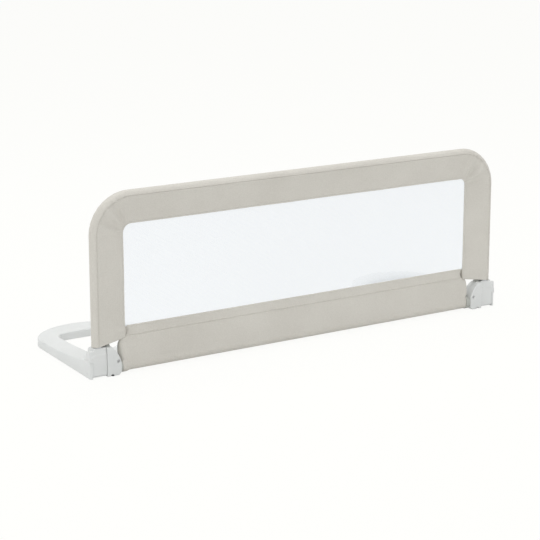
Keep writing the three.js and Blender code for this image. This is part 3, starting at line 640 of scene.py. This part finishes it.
def makeHousing():
    inner, slit, low, axis, screwX, screwZ = sizes(hinge, "inner slit low axis screwX screwZ")
    top, shoulder, backTop, chamfer, r, far = sizes(housing, "top shoulder backTop chamfer frontRound back")
    near, topInner = -housing["front"], slit - housing["topWidth"]
    slant = [(topInner, top), (mix(inner, topInner, 1 / 3), mix(shoulder, top, 2 / 3)), (inner, shoulder)]
    front = outlineOf([(inner + chamfer, low), (slit, low), (slit, top)], bezier(slant, 24),
                      [(inner, low + chamfer)])
    side = outlineOf([(near, low), (far, low), (far, top - housing["backLow"])],
                     bezier([(backTop + 2, top - 9), (backTop, top), (backTop - 4, top)], 12),
                     bezier([(near + r, top), (near, top), (near, top - r)], 10))
    made = prism(front, near - overrun, far + overrun, "y")
    combined(made, [prism(side, inner - overrun, slit + overrun, "x")], "INTERSECT")
    moulded(made, hinge["grain"], 3)
    right = slit - button["fromSlit"] + seatGap
    left, half = right - button["width"] - 2 * seatGap, button["depth"] / 2 + seatGap
    start, middle, depth = near - overrun, (inner + slit) / 2, near + housing["screwSunk"]
    bar, barDepth, pinDepth, head, padBore, padSeat, padY, recess, recessBack, recessX = sizes(
        housing, "barBore barDepth pinDepth screwHead padBore padSeat padY recess recessBack recessFromSlit")
    return combined(made, [
        block((left, -half, button["springFloor"] - seatGap), (right, half, top + overrun)),
        rod(bar, 40, 0, axis, inner - overrun, inner + barDepth, "x"),
        rod(hinge["pinBore"], 30, 0, axis, slit - pinDepth, slit + overrun, "x"),
        rod(hinge["screwBore"], 20, screwX, screwZ, start, far + overrun, "y"),
        rod(head, 32, screwX, screwZ, start, depth, "y"),
        rod(padBore, 40, middle, padY, low - overrun, padSeat, "z"),
        rod(recess, 36, slit - recessX, low, start, recessBack, "y"),
    ])


def frontTop(top):  # the rounded corner between a knuckle's top and its front
    front, r = -hinge["front"], knuckle["frontRound"]
    return bezier([(front + r, top), (front, top), (front, top - r)], 6)


def earCurve(low):  # back and top of the knuckle's outer part, up to the front
    back, top = knuckle["earBack"], knuckle["earTop"]
    return outlineOf(bezier([(back, low), (back, top), (knuckle["frontRound"] - hinge["front"], top)], 24),
                     frontTop(top))


def leanFace(places):  # the front leans back above a line that is lower at the outer side
    share = np.clip((hinge["outer"] - places[:, 0]) / knuckle["faceReach"], 0, 1)
    over = places[:, 2] - mix(knuckle["faceLow"], knuckle["faceHigh"], np.sqrt(1 - (1 - share) ** 2))
    share = smoothStep(over / 1.6) * 0.35 + np.clip(over / 24, 0, 1) * 0.65
    places[:, 1] += knuckle["faceLean"] * share * np.clip((2 - places[:, 1]) / 14, 0, 1)
    return places


def makeKnuckle():
    barrel, axis, outer, legX, front = sizes(hinge, "barrel axis outer legX front")
    back, top, heel, r, join, inner, end = sizes(knuckle, "back top heel round join inner outer")
    socketOuter, hollow, earBack, screwZ = sizes(knuckle, "socketOuter earHollow earBack screwZ")
    drop, rise = math.sqrt(barrel ** 2 - front ** 2), math.sqrt(hollow ** 2 - front ** 2)
    lift = math.sqrt(hollow ** 2 - earBack ** 2)
    turning = arc(barrel, math.atan2(-drop, -front) + 2 * math.pi, 2 * math.pi, 30, 0, axis)
    socket = outlineOf(turning, [(barrel, heel), (back, heel)],
                       bezier([(back, top - r), (back, top), (back - r, top)], 14), frontTop(top))
    outerPart = outlineOf(turning, [(barrel, heel)], earCurve(heel))
    overCheek = arc(hollow, math.atan2(rise, -front), math.atan2(lift, earBack), 24, 0, axis)
    made = prism(socket, inner, socketOuter, "x")
    combined(made, [prism(outerPart, socketOuter - join, end, "x"),
                    prism(outlineOf(overCheek, earCurve(axis + lift)), end - join, outer, "x")], "UNION")
    moulded(made, hinge["grain"], 3)
    combined(made, [rod(knuckle["bearing"], 90, 0, axis, inner - join, inner + 1, "x")], "UNION")
    setPlaces(made.data, leanFace(placesOf(made.data)))
    return combined(made, [
        rod(hinge["pinBore"], 30, 0, axis, hinge["slit"] - overrun, outer, "x"),
        rod(knuckle["socket"], 48, legX, 0, knuckle["socketFloor"], top + overrun, "z"),
        rod(knuckle["screwBore"], 20, legX, screwZ, 0, back + overrun, "y"),
        rod(knuckle["screwHead"], 32, legX, screwZ, back - knuckle["screwSunk"], back + overrun, "y"),
    ])


def makeButton():
    right, top = hinge["slit"] - button["fromSlit"], housing["top"] + button["proud"]
    left, half, low = right - button["width"], button["depth"] / 2, top - button["height"]
    crown, r, sunk, pitch = sizes(button, "crown ribRadius ribSunk ribPitch")
    profile = outlineOf([(-half, low), (half, low)],
                        bezier([(half, top - crown), (0, top + crown), (-half, top - crown)], 20))
    made = rounded(prism(profile, left, right, "x"), button["edgeRound"], 3)
    ribs = []
    for y in (i * pitch for i in range(-2, 3)):
        z = top - crown * abs(y / half) ** 2 - sunk
        ribs.append(rod(r, 12, y, z, left + 2 * r, right - 2 * r, "x"))
    return combined(made, ribs, "UNION")


def makeSpring():
    wire, steps, rings = button["wire"], 24, []
    for i in range(button["turns"] * steps + 1):
        turn = 2 * math.pi * i / steps
        rise = (button["springLength"] - 2 * wire) * i / (button["turns"] * steps)
        out = np.array([math.cos(turn), math.sin(turn), 0])
        middle = np.array([springX, 0, button["springFloor"] + 0.05 + wire + rise])
        middle = middle + button["springRadius"] * out
        rings.append(np.array([middle + wire * (math.cos(a) * out + math.sin(a) * np.array([0, 0, 1]))
                               for a in np.linspace(0, 2 * math.pi, 10, endpoint=False)]))
    return newPiece("spring", *tubeOfRings(rings))


# Screws, pins, caps, collars and pads

screw = {"housing": (3.2, 2.0, 1.6, 48.0), "leg": (4.5, 2.6, 2.2, 26.5)}  # head, its thickness, shank, length
pin = {"radius": 4.0, "fromSlit": 11.7, "tip": 0.6, "head": 6.5, "headThick": 2.5, "headRound": 0.5,
       "cap": 8.5, "capThick": 2.0}
collar = {"inner": 474.6, "radius": 16.5, "bore": 9.8, "lip": 3.6, "step": 1.0}
pad = {"rear": 14.0, "front": 9.0, "height": 2.0, "groove": 0.35}


def makeScrew(head, thickness, shank, length):  # pan head with a cross recess, along +y from its face
    edge = thickness * 0.45
    made = turned([(0, 0), (head * 0.55, 0.08), (head - edge * 0.6, edge * 0.35), (head, edge),
                   (head, thickness), (shank, thickness), (shank, length - shank), (shank * 0.4, length),
                   (0, length)], 32, "y")
    arm, half, deep = head * 0.55, head * 0.11, thickness * 0.6
    cross = combined(block((-arm, -overrun, -half), (arm, deep, half)),
                     [block((-half, -overrun, -arm), (half, deep, arm))], "UNION")
    return combined(made, [cross])


def screwAt(kind, turn, place):
    made = makeScrew(*screw[kind])
    setPlaces(made.data, placesOf(made.data) * turn + place)
    return made


def makePinCap():
    end, r = hinge["outer"], pin["cap"]
    low = end - pin["capThick"]
    return turned([(0, low), (r, low), (r, end - 0.3), (r - 0.3, end - 0.05), (r - 0.8, end), (0, end)],
                  56, "x", (0, 0, hinge["axis"]))


def makePin():
    start, end = hinge["slit"] - pin["fromSlit"], hinge["outer"] - hinge["capDepth"]
    r, tip, head, soft, thick = sizes(pin, "radius tip head headRound headThick")
    under = end - thick
    return turned([(0, start), (r - tip, start), (r, start + tip), (r, under), (head, under),
                   (head, end - soft), (head - soft, end), (0, end)], 40, "x", (0, 0, hinge["axis"]))


def makeCollar():  # two lips with a shallow groove between them
    near, r, bore, lip, step = sizes(collar, "inner radius bore lip step")
    far = hinge["inner"] - seatGap
    profile = [(bore, near), (r - 1.2, near), (r - 0.3, near + 0.4), (r, near + 1.3), (r, near + lip),
               (r - step, near + lip + 0.8), (r - step, far - lip - 0.8), (r, far - lip), (r, far - 1.0),
               (r - 0.4, far - 0.3), (r - 1.2, far), (bore, far)]
    return turned(profile, 72, "x", (0, 0, hinge["axis"]), "joined")


def makePad(r, centre):
    groove, high = pad["groove"], pad["height"]
    return turned([(0, groove), (r * 0.3, groove), (r * 0.36, 0), (r * 0.46, 0), (r * 0.52, groove),
                   (r * 0.62, groove), (r * 0.68, 0), (r * 0.8, 0), (r - 0.7, 0.05), (r - 0.15, 0.5),
                   (r, 1.0), (r, high), (0, high)], 56, "z", (*centre, 0))


springX = hinge["slit"] - button["fromSlit"] - button["width"] / 2
frontPad = ((hinge["inner"] + hinge["slit"]) / 2, housing["padY"])
bothEnds(makeHousing, "hingeHousing", "base", shellLook, 50)
bothEnds(makeKnuckle, "legKnuckle", "guard", shellLook, 50)
inHousing = (hinge["screwX"], -housing["front"], hinge["screwZ"])
inLeg = (hinge["legX"], knuckle["back"], knuckle["screwZ"])
bothEnds(lambda: screwAt("housing", (1, 1, 1), inHousing), "housingScrew", "base", screwLook)
bothEnds(lambda: screwAt("leg", (-1, -1, 1), inLeg), "legScrew", "guard", screwLook)
bothEnds(makePin, "hingePin", "base", screwLook)
bothEnds(makePinCap, "pinCap", "base", shellLook)
# the collar's darker grey is partly painted shade of the gap between the hem and the housing
bothEnds(makeCollar, "crossbarCollar", "base", trimShadeLook)
for padName, radius, centre in (("rearOuterPad", pad["rear"], padCentres()[0]),
                                ("rearInnerPad", pad["rear"], padCentres()[1]),
                                ("frontPad", pad["front"], frontPad)):
    bothEnds(lambda: makePad(radius, centre), padName, "base", rubberLook)
bothEnds(makeButton, "releaseButton", "SIDE_button", trimShadeLook)
bothEnds(makeSpring, "buttonSpring", "base", screwLook)
for side, way in (("left", -1), ("right", 1)):
    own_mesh(bpy.data.objects[side + "ButtonSpring"])


# Frame tubes and crossbar

tube = {"radius": 11.0, "wall": 1.2, "bend": 82.0, "topZ": 398.0, "low": 38.3, "middleGap": 0.15,
        "barRadius": 9.5, "barEnd": 505.7}


def framePlaces(low, gap, straight, bendSteps):  # centre line of the right half, from its leg to the middle
    legX, topZ, bend = hinge["legX"], tube["topZ"], tube["bend"]
    rows = [(legX, z, -1.0, 0.0, 0.0) for z in np.arange(low, topZ - bend - 1e-6, straight)]
    for i in range(bendSteps + 1):
        turn = math.pi / 2 * i / bendSteps
        rows.append((legX - bend + bend * math.cos(turn), topZ - bend + bend * math.sin(turn),
                     -math.cos(turn), -math.sin(turn), i / bendSteps))
    count = max(1, round((legX - bend - gap) / straight))
    rows += [(mix(legX - bend, gap, i / count), topZ, 0.0, -1.0, 1.0) for i in range(1, count + 1)]
    return np.array(rows)


def pipe(rows, radius):
    outer, inner = [[np.stack([x + inX * inwards, y, z + inZ * inwards], 1) for x, z, inX, inZ, _ in rows]
                    for inwards, y in (circle(r, 40).T for r in (radius, radius - tube["wall"]))]
    return newPiece("pipe", *tubeOfRings(outer + inner[::-1], "joined"))


bothEnds(lambda: pipe(framePlaces(tube["low"], tube["middleGap"], 40.0, 24), tube["radius"]),
         "frameTube", "guard", tubeLook)
barRows = [(x, hinge["axis"], 0.0, 1.0, 0.0) for x in np.linspace(-tube["barEnd"], tube["barEnd"], 12)]
keep(pipe(barRows, tube["barRadius"]), "crossbarTube", "base", tubeLook, ["crossbar"])


# Cover: a padded sleeve with a gusset strip round the outer half of the tube

cover = {
    "radius": 13.5, "legBand": 81.0, "edgeHalf": 2.1, "windowHalf": 469.0, "windowTop": 336.0,
    "cornerLeft": 20.0, "cornerRight": 14.0, "windowLow": 107.0, "low": 69.8, "endRise": 10.0,
    "endBlend": 70.0, "pitch": 2.6, "bendSteps": 56, "seamTurn": 80.0, "seamDepth": 1.1, "seamRidge": 0.55,
    "hem": 13.0, "hemDip": 0.5, "hemWall": 1.8, "hemDeep": 12.0, "stitchInset": 5.0, "puff": 0.9,
    "slack": 0.8, "fine": 0.28, "pucker": 0.45, "puckerPitch": 15.0, "edgePucker": 0.22, "edgePitch": 19.0,
    "crease": 3.8, "creases": 5.2, "standOff": 2.2, "standAt": 86.0, "standHeight": 13.0,
}


def drift(*place):
    return noise.noise(Vector(place))


def windowGap(x, z, side):  # distance outside the window's rounded outline; the legs run on below it
    half, top = cover["windowHalf"], cover["windowTop"]
    r = cover["cornerLeft"] if side < 0 else cover["cornerRight"]
    dx, dz = abs(x) - (half - r), z - (top - r)
    if dz < 0:
        return abs(x) - half
    return z - top if dx < 0 else math.hypot(dx, dz) - r


def bandReach(x, z, inX, inZ, side):  # from the tube to the window's edge
    low, high = 20.0, 110.0
    for _ in range(30):
        half = (low + high) / 2
        if windowGap(x + inX * half, z + inZ * half, side) > 0:
            low = half
        else:
            high = half
    return low


def frontSection(reach):  # the front half, from the outermost point of the tube to the window's edge
    r, depth, ridge, edge, stitchInset = sizes(cover, "radius seamDepth seamRidge edgeHalf stitchInset")
    seam = math.radians(cover["seamTurn"])
    bends = [(turn, 0.0, r * (turn - seam)) for turn in np.linspace(0, seam - 0.22, 13)]
    bends += [(seam + off / r, lift, off) for off, lift in (
        (-2.2, 0.3 * ridge), (-1.5, ridge), (-0.8, 0.75 * ridge), (-0.35, -0.5 * depth),
        (0.0, -depth), (0.4, -0.75 * depth), (1.0, 0.0), (1.8, 0.25 * ridge))]
    rows = []  # inwards, forwards, lift along the normal, distance from the seam, share over the band
    for turn, lift, off in bends:
        out, forth = math.cos(turn), math.sin(turn)
        rows.append((-r * out, r * forth, -out, forth, lift, off, 0.0))
    startX, startY = rows[-1][:2]
    length = reach - startX
    slope = (edge + 0.4 - startY) / (length - stitchInset)
    tilt = math.hypot(1, slope)
    for share in np.linspace(0, 1, 26)[1:]:
        inwards = startX + share * (length - stitchInset)
        puff = cover["puff"] * math.sin(math.pi * share) * (1 - share)
        rows.append((inwards, startY + slope * (inwards - startX), -slope / tilt, 1 / tilt, puff,
                     share * length + 1.8, share))
    for off, forwards, lift in ((-3.9, 0.15, -0.45), (-3.1, 0.2, 0.05), (-2.0, 0.2, 0.0), (-1.0, 0.0, 0.0)):
        rows.append((reach + off, edge + forwards, 0, 1, lift, length, 1.0))
    rows.append((reach - 0.25, edge * 0.62, 0.7, 0.7, 0.0, length, 1.0))
    rows.append((reach, 0.0, 1, 0, 0.0, length, 1.0))
    return np.array(rows)


def coverPlaces():
    half = framePlaces(cover["low"], 0.0, cover["pitch"], cover["bendSteps"])
    return np.concatenate([half, half[:-1][::-1] * (-1, 1, -1, 1, 1)])


def wrinkle(x, z, side, turnShare, run, front, fromSeam, share):
    face = 17.0 if front else 71.0
    bendHere = math.sin(math.pi * turnShare)  # strongest in the middle of a bend
    soft = drift(x / 95, z / 95, face) * cover["slack"] * min(1.0, share * 2.5)
    fine = drift(x / 34, z / 34, face + 5) * cover["fine"] * min(1.0, share * 3)
    wave = math.sin(2 * math.pi * run / cover["puckerPitch"] + 3 * drift(run / 60, face, 0))
    tuck = wave * cover["pucker"] * math.exp(-abs(fromSeam) / 9.0) * (0.35 + 1.5 * bendHere)
    edgeWave = math.sin(2 * math.pi * run / cover["edgePitch"] + 4 * drift(run / 45, face, 9))
    edgeTuck = edgeWave * cover["edgePucker"] * smoothStep((share - 0.75) / 0.2) * (0.5 + bendHere)
    folds = 0.0
    if 0 < turnShare < 1 and share > 0:
        rays = math.sin(math.pi * (turnShare * cover["creases"] + 0.35 * side + (0.3 if front else 0.8)))
        folds = rays * cover["crease"] * bendHere * math.sin(math.pi * min(1.0, share * 0.9 + 0.1)) ** 0.8
    return soft + fine + tuck + edgeTuck + folds


def coverSkin():
    places = coverPlaces()
    runs = np.concatenate([[0], np.cumsum(np.hypot(np.diff(places[:, 0]), np.diff(places[:, 1])))])
    rings = []
    for (x, z, inX, inZ, turnShare), run in zip(places, runs):
        side = 1 if x > 0 else -1
        rows = frontSection(bandReach(x, z, inX, inZ, side))
        fromEnd = min(run, runs[-1] - run)
        still, flare = smoothStep(fromEnd / 30), 1 - smoothStep(fromEnd / cover["endBlend"])
        dip = cover["hemDip"] * math.exp(-((fromEnd - cover["hem"]) / 1.6) ** 2)
        ring = []
        for front, part in ((True, rows), (False, rows[::-1][1:-1])):
            for inwards, forwards, leanIn, leanOut, lift, fromSeam, share in part:
                atX, atZ = x + inX * inwards, z + inZ * inwards
                up = lift
                if leanOut > 0:
                    up += still * wrinkle(atX, atZ, side, turnShare, run, front, fromSeam, share)
                    up -= dip
                if front and fromEnd < 50:  # the band stands off the panel at its corner
                    off = math.exp(-((atZ - cover["standAt"]) / cover["standHeight"]) ** 2)
                    up += cover["standOff"] * smoothStep((share - 0.6) / 0.4) * off
                y = (forwards + leanOut * up) * (-1 if front else 1)
                rise = cover["endRise"] * (inwards + cover["radius"]) / cover["legBand"] * flare
                inwards = inwards + leanIn * up
                ring.append((x + inX * inwards, y, z + inZ * inwards + rise))
        rings.append(np.array(ring))
    return rings


def turnedIn(ring, amount, lift):  # a ring drawn in towards the middle of the band's thickness, and lifted
    made = ring.copy()
    made[:, 1] *= np.clip(1 - amount / np.maximum(np.abs(made[:, 1]), amount + 0.4), 0.1, 1)
    made[:, 0] += np.clip(ring.mean(0)[0] - made[:, 0], -amount, amount)
    made[:, 2] += lift
    return made


def makeCover():
    rings, wall = coverSkin(), cover["hemWall"]
    folds = ((wall, cover["hemDeep"]), (wall, 2.0), (wall * 0.8, 0.1), (wall * 0.35, -0.35))
    first, last = [[turnedIn(ring, *fold) for fold in folds] for ring in (rings[0], rings[-1])]
    return newPiece("cover", *tubeOfRings(first + rings + last[::-1]))


coverPiece = keep(makeCover(), "coverSleeve", "guard", coverLook, ["cover_sleeve"], 0)
print("cover made:", len(coverPiece.data.polygons), "faces")


# Lower panel: two layers that run round the crossbar, with a band along the window

panel = {
    "hemRadius": 15.0, "top": 107.0, "edgeHalf": 2.3, "seamBelow": 22.0, "half": 481.0, "hemHalf": 473.6,
    "topHalf": 472.0, "leftLow": 480.5, "leftHalf": 486.9, "overCollar": 17.1, "collarFrom": 461.0,
    "pitch": 3.2, "slack": 1.7, "drag": 0.8, "pucker": 0.3, "puckerPitch": 17.0, "cornerFold": 1.3,
    "hemTop": 33.0, "tuck": 6.5, "tuckFrom": 6.0, "tuckAt": 91.0,
}


def panelSection():  # from the top edge at the front, down round the hem, and up the back
    r, axis, top, edge = panel["hemRadius"], hinge["axis"], panel["top"], panel["edgeHalf"]
    start = math.asin((r - edge) / (top - axis)) * 0.85
    crestY, crestZ = r * math.cos(start), axis + r * math.sin(start)
    seamZ = top - panel["seamBelow"]
    rows = [(top - drop, lift, 0.1) for drop, lift in ((0.8, 0), (2.0, 0), (3.2, 0), (4.2, -0.35), (5.2, 0))]
    rows += [(z, 0.35, 0.3) for z in np.linspace(top - 7, seamZ + 2.2, 6)]
    rows += [(seamZ + off, lift, 0.25) for off, lift in (
        (1.4, 0.6), (0.7, 0.2), (0.2, -0.85), (-0.3, -1.05), (-1.0, -0.45), (-2.0, 0.0))]
    rows += [(z, 0.5 * math.sin(math.pi * (seamZ - z) / (seamZ - crestZ)), 1.0)
             for z in np.linspace(seamZ - 4, crestZ, 18)]
    front = [(0.0, top - 0.2, 0.0, 0.0), (edge * 0.7, top - 0.1, 0.0, 0.0)]
    front += [(mix(edge, crestY, (top - z) / (top - crestZ)), z, lift, free) for z, lift, free in rows]
    front += [(r * math.cos(turn), axis + r * math.sin(turn), 0.0, 0.35)
              for turn in np.linspace(start, -math.pi / 2, 15)[1:]]
    return np.array(front)  # forwards, height, lift, how free the cloth is


def panelEdge(z, side):  # half width at a height: widest above the hem, tucked in at the top
    if side < 0:  # the hem has slipped over the left collar
        low = mix(panel["leftLow"], panel["leftHalf"], smoothStep((z - 8) / 42))
    else:
        low = mix(panel["hemHalf"], panel["half"], smoothStep((z - 30) / 14))
    return mix(low, panel["topHalf"], smoothStep((z - 66) / 30))


def panelPlace(along, front, face, forwards, z, lift, free):
    half, hem, seamZ = panelEdge(z, along), panel["hemTop"], panel["top"] - panel["seamBelow"]
    x, fromEdge = along * half, half * (1 - abs(along))
    soft = drift(x / 120, z / 60, face) * panel["slack"] * free
    drag = drift(x / 26, z / 130, face + 7) * panel["drag"] * free
    run = x / panel["puckerPitch"] + 2.5 * drift(x / 70, face, 2)
    pucker = math.sin(2 * math.pi * run) * panel["pucker"] * math.exp(-abs(z - seamZ) / 7)
    corner = math.exp(-fromEdge / 22) * smoothStep((z - 50) / 30)
    fold = math.sin((abs(x) + 0.7 * z) / 4.6) * panel["cornerFold"] * corner
    thin = 1 - 0.72 * smoothStep(1 - fromEdge / 26) * smoothStep((z - 60) / 24)
    y = forwards * thin
    if free > 0:
        y = y + lift + soft + drag + pucker + fold * thin
    y *= 1 - 0.75 * smoothStep(1 - fromEdge / 5) * (z > hem)
    if z < hem:
        y = forwards + (soft + drag) * 0.4 * (forwards > 0)
    near = math.exp(-((fromEdge - panel["tuckFrom"]) / 5.5) ** 2)  # drawn in behind the leg
    back = panel["tuck"] * near * math.exp(-((z - panel["tuckAt"]) / 11) ** 2)
    over = panel["overCollar"] / panel["hemRadius"] - 1
    over *= smoothStep((-x - panel["collarFrom"]) / 11)
    y *= 1 + over * smoothStep((62 - z) / 26)
    return x, back - y if front else back + y, z + (z - hinge["axis"]) * over * (z < hinge["axis"])


def makePanel():
    section = panelSection()
    count = round(2 * panel["half"] / panel["pitch"])
    rings = []
    for i in range(count + 1):
        along = -1 + 2 * i / count
        rings.append(np.array([panelPlace(along, True, 3.0, *row) for row in section]
                              + [panelPlace(along, False, 41.0, *row) for row in section[::-1][1:-1]]))
    return newPiece("panel", *tubeOfRings(rings))


panelPiece = keep(makePanel(), "lowerPanel", "guard", coverLook, ["lower_panel"], 0)
print("panel made:", len(panelPiece.data.polygons), "faces")


# Stitches, laid on the cloth under them

stitch = {
    "length": 2.7, "pitch": 4.2, "radius": 0.42, "sunk": 0.12, "besideSeam": 3.4, "besideWindow": 4.6,
    "shape": ((-1, 0.35), (-0.55, 0.9), (0, 1.0), (0.55, 0.9), (1, 0.35)),
}


def oneStitch(spots, way):  # rings round its spots, which lie along it
    run = (spots[-1] - spots[0]).normalized()
    beside = run.cross(Vector((0, way, 0))).normalized()
    out = beside.cross(run)
    rings = []
    for centre, (_, width) in zip(spots, stitch["shape"]):
        r = stitch["radius"] * width
        rings.append([tuple(centre + r * (math.cos(t) * beside + math.sin(t) * out))
                      for t in np.linspace(0, 2 * math.pi, 6, endpoint=False)])
    return tubeOfRings(rings)


def makeStitches(lines, mesh):  # each line with the side it shows on: -1 the front, 1 the back
    cloth = BVHTree.FromPolygons([Vector(p) for p in placesOf(mesh)],
                                 [tuple(f.vertices) for f in mesh.polygons])
    points, faces = [], []
    for line, way in lines:
        line = np.array(line, float)
        runs = np.concatenate([[0], np.cumsum(np.hypot(*np.diff(line, axis=0).T))])
        for run in np.arange(stitch["pitch"], runs[-1] - stitch["pitch"] / 2, stitch["pitch"]):
            spots = []
            for part, _ in stitch["shape"]:
                here = run + part * stitch["length"] / 2
                x, z = np.interp(here, runs, line[:, 0]), np.interp(here, runs, line[:, 1])
                hit = cloth.ray_cast(Vector((x, way * 60.0, z)), Vector((0, -way, 0)))[0]
                if hit is None:
                    break
                spots.append(Vector((x, hit.y - way * stitch["sunk"] * (1 + 2 * abs(part)), z)))
            if len(spots) == len(stitch["shape"]):
                morePoints, moreFaces = oneStitch(spots, way)
                faces += [tuple(len(points) + i for i in face) for face in moreFaces]
                points += morePoints.tolist()
    return newPiece("stitches", points, faces)


def windowLine(away):  # round the window's two sides and top, outside its edge
    half, top, low = cover["windowHalf"] + away, cover["windowTop"] + away, cover["low"] + 18
    left, right = cover["cornerLeft"] + away, cover["cornerRight"] + away
    return outlineOf([(-half, low), (-half, top - left)],
                     arc(left, math.pi, math.pi / 2, 16, -half + left, top - left),
                     arc(right, math.pi / 2, 0, 16, half - right, top - right),
                     [(half, top - right), (half, low)])


seam = coverPlaces()[6:-6]
seamLine = seam[:, :2] + seam[:, 2:4] * stitch["besideSeam"]
hemZ = cover["low"] + cover["hem"] - 3
coverLines, panelLines = [], []
for way in (-1, 1):
    coverLines += [(windowLine(stitch["besideWindow"]), way), (seamLine, way)]
    for x in (-1, 1):
        coverLines.append(([(x * (hinge["legX"] + 4), hemZ + 1.5),
                            (x * (cover["windowHalf"] + 8), hemZ + cover["endRise"] * 0.8)], way))
    for drop in (4.6, panel["seamBelow"] + 3.2):
        z = panel["top"] - drop
        reach = min(panelEdge(z, -1), panelEdge(z, 1)) - 4
        panelLines.append(([(-reach, z), (reach, z)], way))
for sewn, lines, under in (("cover", coverLines, coverPiece), ("panel", panelLines, panelPiece)):
    keep(makeStitches(lines, under.data), sewn + "Stitches", "guard", threadLook, (), 0)
print("stitches sewn")


# Window net: knitted mesh with six-sided holes

net = {"pitch": 3.4, "strand": 2.1, "seamHold": 2.4, "ripple": 0.35, "knot": 0.06}


def makeNet():
    pitch, hold = net["pitch"], net["seamHold"]
    low, high, half = cover["windowLow"] - hold, cover["windowTop"] + hold, cover["windowHalf"] + hold
    rowPitch = pitch * math.sqrt(3) / 2
    rows, columns = int((high - low) / rowPitch) + 2, int(2 * half / pitch) + 2
    holeRadius = (pitch / 2 - net["strand"] / 2) / math.cos(math.pi / 6)
    kept = {}  # for each hole, the number of its first corner
    points, faces = [], []
    for row in range(rows):
        for column in range(columns):
            x, z = -half + (column + 0.5 * (row % 2)) * pitch, low + row * rowPitch
            if z < high and abs(x) < half and windowGap(x, z, 1 if x > 0 else -1) < hold:
                kept[row, column] = len(points)
                for turn in (math.pi / 6 + math.pi / 3 * i for i in range(6)):
                    px, pz = x + holeRadius * math.cos(turn), z + holeRadius * math.sin(turn)
                    y = drift(px / 70, pz / 70, 5) * net["ripple"] + net["knot"] * math.sin(turn * 3)
                    points.append((px, y, pz))
    for (row, column), a in kept.items():
        odd = row % 2
        right = kept.get((row, column + 1))
        upRight = kept.get((row + 1, column + odd))
        upLeft = kept.get((row + 1, column + odd - 1))
        for b, corner in ((right, 0), (upRight, 1), (upLeft, 2)):  # the thread between two holes
            if b is not None:
                faces.append((a + (corner + 5) % 6, b + corner + 3, b + corner + 2, a + corner))
        if right is not None and upRight is not None:  # and the knots
            faces.append((a, right + 2, upRight + 4))
        if upRight is not None and upLeft is not None:
            faces.append((a + 1, upRight + 3, upLeft + 5))
    return newPiece("net", points, faces)


netPiece = keep(makeNet(), "windowMesh", "guard", netLook, ["window_net"], 0)
print("net made:", len(netPiece.data.polygons), "faces")


for title in ("frame_joiner", "left_snap_button", "right_snap_button"):  # hidden in the sleeve
    inner = bpy.data.objects[title]
    inner.data.materials.clear()
    inner.data.materials.append(tubeLook)
